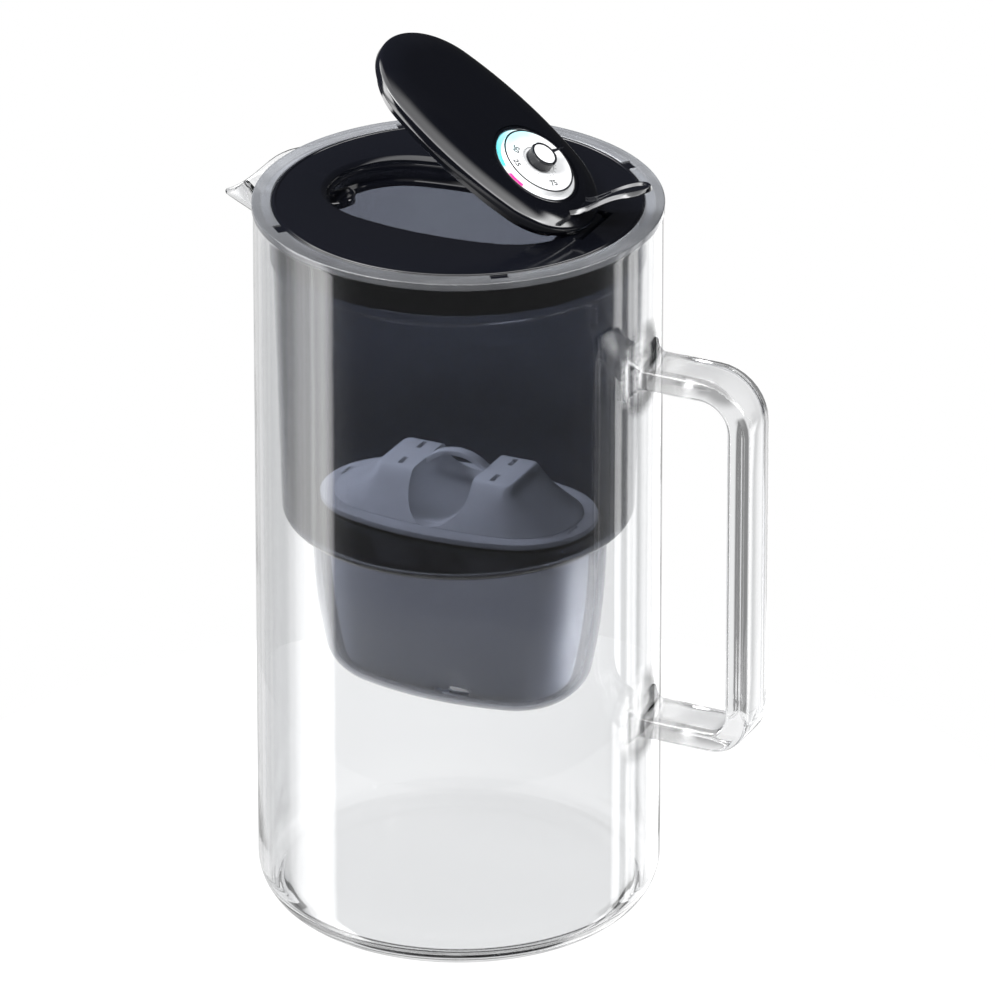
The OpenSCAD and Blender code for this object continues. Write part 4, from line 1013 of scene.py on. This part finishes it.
def make_numbers():
    """Change reminder's scale: plain numbers in thirds of a turn, raised by a print's thickness."""
    parts = []
    for text, angle, r in (("50", 206, 9.0), ("25", 246, 10.6), ("75", -22, 9.9)):
        curve = bpy.data.curves.new("number", "FONT")
        curve.body, curve.size, curve.extrude, curve.offset = text, 3.2 * MM, 0.02 * MM, 0.07 * MM
        curve.align_x, curve.align_y = "CENTER", "CENTER"
        ob = in_scene("number", curve)
        solid = in_scene("number", evaluated_mesh(ob))
        bpy.data.objects.remove(ob)
        way = radians(angle)
        place = np.array([DIAL_X + r * cos(way), r * sin(way), FACE_Z + 0.02])
        parts.append(reshape(solid, lambda p: turned(p, way + pi / 2) + place))
    return open_flap(join("dial_numbers", parts))


def make_marks():
    marks = repeated_blocks("dial_marks", 24, (6.75, 0, FACE_Z + 0.01), (0.7, 0.14, 0.05), turn=15)
    return open_flap(reshape(marks, lambda p: p + (DIAL_X, 0, 0)))


PRINT_RING = dial_material("printed colour ring", True)
PRINT_DISC = dial_material("printed disc", False)
floor_z, ring_z = WELL_Z + 0.02, WELL_Z + RING_T
top, r, r0 = WELL_Z + RING_T + 0.5, BEZEL_R, BEZEL_R - BEZEL_W
hollow_ring("dial_rim", [(r0, floor_z), (r, floor_z), (r, top - 0.5), (r - 0.07, top - 0.25),
                         (r - 0.25, top - 0.07), (r - 0.5, top), (r0 + 0.4, top), (r0 + 0.12, top - 0.12),
                         (r0, top - 0.4)],
            GLOSS_BLACK, "dial_bezel")
hollow_ring("dial_scale_ring", [(FACE_R - 2, floor_z), (r0 - 0.05, floor_z), (r0 - 0.05, ring_z),
                                (FACE_R - 2, ring_z)],
            PRINT_RING, "dial_colour_ring")
top, r = FACE_Z, FACE_R
hollow_ring("dial_disc", [(SHAFT_HOLE_R, floor_z), (r - 2.05, floor_z), (r - 2.05, ring_z), (r - 0.1, ring_z),
                          (r, ring_z + 0.1), (r, top - 0.3), (r - 0.09, top - 0.09), (r - 0.3, top),
                          (KNOB_R + 1.2, top), (KNOB_R + 1.0, top - 0.35), (KNOB_R + 0.6, top - 0.5),
                          (SHAFT_HOLE_R, top - 0.5)], PRINT_DISC, "dial_face")
low, top, r = FACE_Z - 0.3, BUTTON_TOP, KNOB_R
dial_piece("dial_button", [(1.2, WELL_Z - 1.7), (2.2, WELL_Z - 1.7), (2.2, low), (r - 0.25, low),
                           (r, low + 0.3), (r - 0.05, low + 0.8), (r - 0.2, top - 1.2), (r - 0.05, top - 0.4),
                           (r - 0.02, top - 0.1), (r - 0.1, top), (1.0, top)],
           GLOSS_BLACK, "dial_knob")
r = MARK_R - 0.02
dial_piece("dial_button_top", [(1.0, top + 0.01), (r, top + 0.01), (r, top + 0.3), (r - 0.1, top + 0.4),
                               (1.0, top + 0.4)],
           WHITE, "dial_cap")
finish_piece(make_mark(), "dial", SATIN_BLACK, ("dial_pointer",), 30)
finish_piece(make_numbers(), "flap", PRINT_GREY, angle=30)
finish_piece(make_marks(), "flap", PRINT_GREY, angle=30)
top, r = FACE_Z, FACE_R
hollow_ring("dial_edge_line", [(r - 0.7, top - 0.02), (r - 0.1, top - 0.09), (r - 0.1, top + 0.03),
                               (r - 0.7, top + 0.03)],
            SATIN_BLACK, None)


# -------------------- carried pieces

for name, finish in (("hinge_pin", STEEL), ("dial_washer", STEEL), ("dial_screw", STEEL),
                     ("click_spring", STEEL), ("detent_wheel", NATURAL), ("cartridge_seal", RUBBER),
                     ("inlet_screen", WOVEN), ("outlet_screen", WOVEN), ("filter_media", CARBON)):
    for slot in NODES[name].material_slots:
        slot.material = finish


# -------------------- stage, light and camera

def make_world():
    """White background whose light depends on the ray: mirrored rays see panels, and rays that went through
    glass see darker fields in front and above."""
    world = bpy.data.worlds.new("studio")
    bpy.context.scene.world = world
    world.use_nodes = True
    t = world.node_tree
    t.nodes.clear()
    x, y, z = axes(t, node(t, "ShaderNodeTexCoord").outputs["Generated"])

    def chain(operation):
        def run(first, *more):
            for value in more:
                first = calc(t, operation, first, value)
            return first
        return run

    times, plus, less = chain("MULTIPLY"), chain("ADD"), chain("SUBTRACT")
    around = times(calc(t, "ARCTAN2", y, x), 180 / pi)
    height = times(calc(t, "ARCSINE", z), 180 / pi)

    def step(value, edge, soft):
        return span(t, value, edge - soft, edge + soft, interpolation_type="SMOOTHSTEP")

    def below(value, edge, soft):
        return less(1.0, step(value, edge, soft))

    def band(value, low, high, soft):
        return times(step(value, low, soft), below(value, high, soft))

    def panel(azimuth, elevation, soft, strength):
        return times(band(around, *azimuth, soft[0]), band(height, *elevation, soft[1]), strength)

    # Tall panels at the sides, small ones at the edges, and a soft one above that weakens upwards
    tall = (-60, -14)
    sides = plus(panel((-180, -140), tall, (2, 4), span(t, around, -178, -152, 0.3, 6.6)),
                 panel((34, 41), tall, (1.5, 4), 4.2), panel((47, 57), tall, (2, 4), 3.4),
                 panel((62, 98), tall, (3, 4), 2.2), panel((80, 175), (-90, -16), (12, 6), 0.7))
    stripes = node(t, "ShaderNodeTexNoise", [("W", around), ("Scale", 0.16), ("Detail", 2.0)],
                   noise_dimensions="1D")
    sides = times(sides, span(t, stripes.outputs["Fac"], 0.3, 0.7, 0.78, 1.2))
    edges = plus(panel((-170, -142), (-10, 28), (3, 5), 11.0), panel((-8, 37), (16, 34), (4, 4), 12.0),
                 panel((-145, -104), (20, 42), (5, 4), 13.0))
    weaker = calc(t, "POWER", 0.5, times(less(height, 33.0), 0.12))
    above = times(below(y, 0.26, 0.12), step(height, 29, 5), plus(2.6, times(weaker, 8.0)))
    shine = plus(sides, edges, above, 0.03)
    front = times(band(around, -140, 38, 16), below(height, -12, 6))
    through = less(0.95, calc(t, "MAXIMUM", times(step(height, 30, 16), 0.5), times(front, 0.68)))
    level = plus(0.85, times(step(height, 30, 50), 0.45))
    path = node(t, "ShaderNodeLightPath").outputs
    for ray, value in (("Is Glossy Ray", shine), ("Is Transmission Ray", through), ("Is Camera Ray", 1.0)):
        level = node(t, "ShaderNodeMix", [("Factor", path[ray]), (2, level), (3, value)],
                     data_type="FLOAT").outputs[0]
    back = node(t, "ShaderNodeBackground", [("Color", (1, 1, 1, 1)), ("Strength", level)])
    node(t, "ShaderNodeOutputWorld", [("Surface", back)])


def make_floor():
    """Round patch of a white table that goes over into the white background."""
    ob = new_object("floor", circle(210, -0.2, 96), [tuple(range(96))])
    m, t, _ = material("studio floor")
    level = span(t, node(t, "ShaderNodeLightPath").outputs["Is Camera Ray"], 0.0, 1.0, 0.84, 0.92)
    glow = node(t, "ShaderNodeEmission", [("Color", (1, 1, 1, 1)), ("Strength", level)])
    matt = node(t, "ShaderNodeBsdfDiffuse", [("Color", (0.07, 0.07, 0.07, 1))])
    both = node(t, "ShaderNodeAddShader", [(0, glow), (1, matt)])
    feed(t, both, t.nodes["Material Output"].inputs["Surface"])
    ob.data.materials.append(m)
    ob.visible_glossy = False


def soft_lamp(name, target, azimuth, elevation, distance, size, power):
    """A soft lamp that the camera doesn't see."""
    data = bpy.data.lights.new(name, "AREA")
    data.energy, data.size = power, size
    data.cycles.use_multiple_importance_sampling = False
    lamp = in_scene(name, data)
    a, e = radians(azimuth), radians(elevation)
    way = Vector((cos(a) * cos(e), sin(a) * cos(e), sin(e)))
    lamp.location = Vector(target) * MM + way * distance
    lamp.rotation_euler = way.to_track_quat("Z", "Y").to_euler()
    lamp.visible_camera = lamp.visible_transmission = False
    return lamp


def make_lamps():
    soft_lamp("upper lamp", (0, 0, 165), -100, 50, 1.2, 0.3, 15.0).visible_glossy = False
    soft_lamp("left lamp", (0, 0, 165), 175, 36, 1.2, 0.3, 33.0).visible_glossy = False
    soft_lamp("low side lamp", (40, -20, 110), 40, -36, 0.15, 0.15, 0.6)


def make_camera():
    turn, down, distance = radians(25.7), radians(25.362), 4.3574
    right = Vector((cos(turn), sin(turn), 0))
    up = Vector((-sin(turn) * sin(down), cos(turn) * sin(down), cos(down)))
    back = Vector((sin(turn) * cos(down), -cos(turn) * cos(down), sin(down)))
    target = Vector((0, 0, 0.130)) + right * 0.013346 + up * 0.01822
    data = bpy.data.cameras.new("view")
    data.lens, data.sensor_width = 457.2, 36
    data.clip_start, data.clip_end = 0.1, 50
    cam = in_scene("view", data)
    cam.location = target + back * distance
    cam.rotation_euler = Matrix((right, up, back)).transposed().to_euler()
    bpy.context.scene.camera = cam


make_world()
make_floor()
make_lamps()
make_camera()
bpy.context.scene.view_settings.view_transform = "Standard"
cycles = bpy.context.scene.cycles
cycles.caustics_refractive = False
cycles.max_bounces = cycles.transparent_max_bounces = 24
cycles.transmission_bounces = 20
cycles.glossy_bounces = 8
cycles.diffuse_bounces = 4
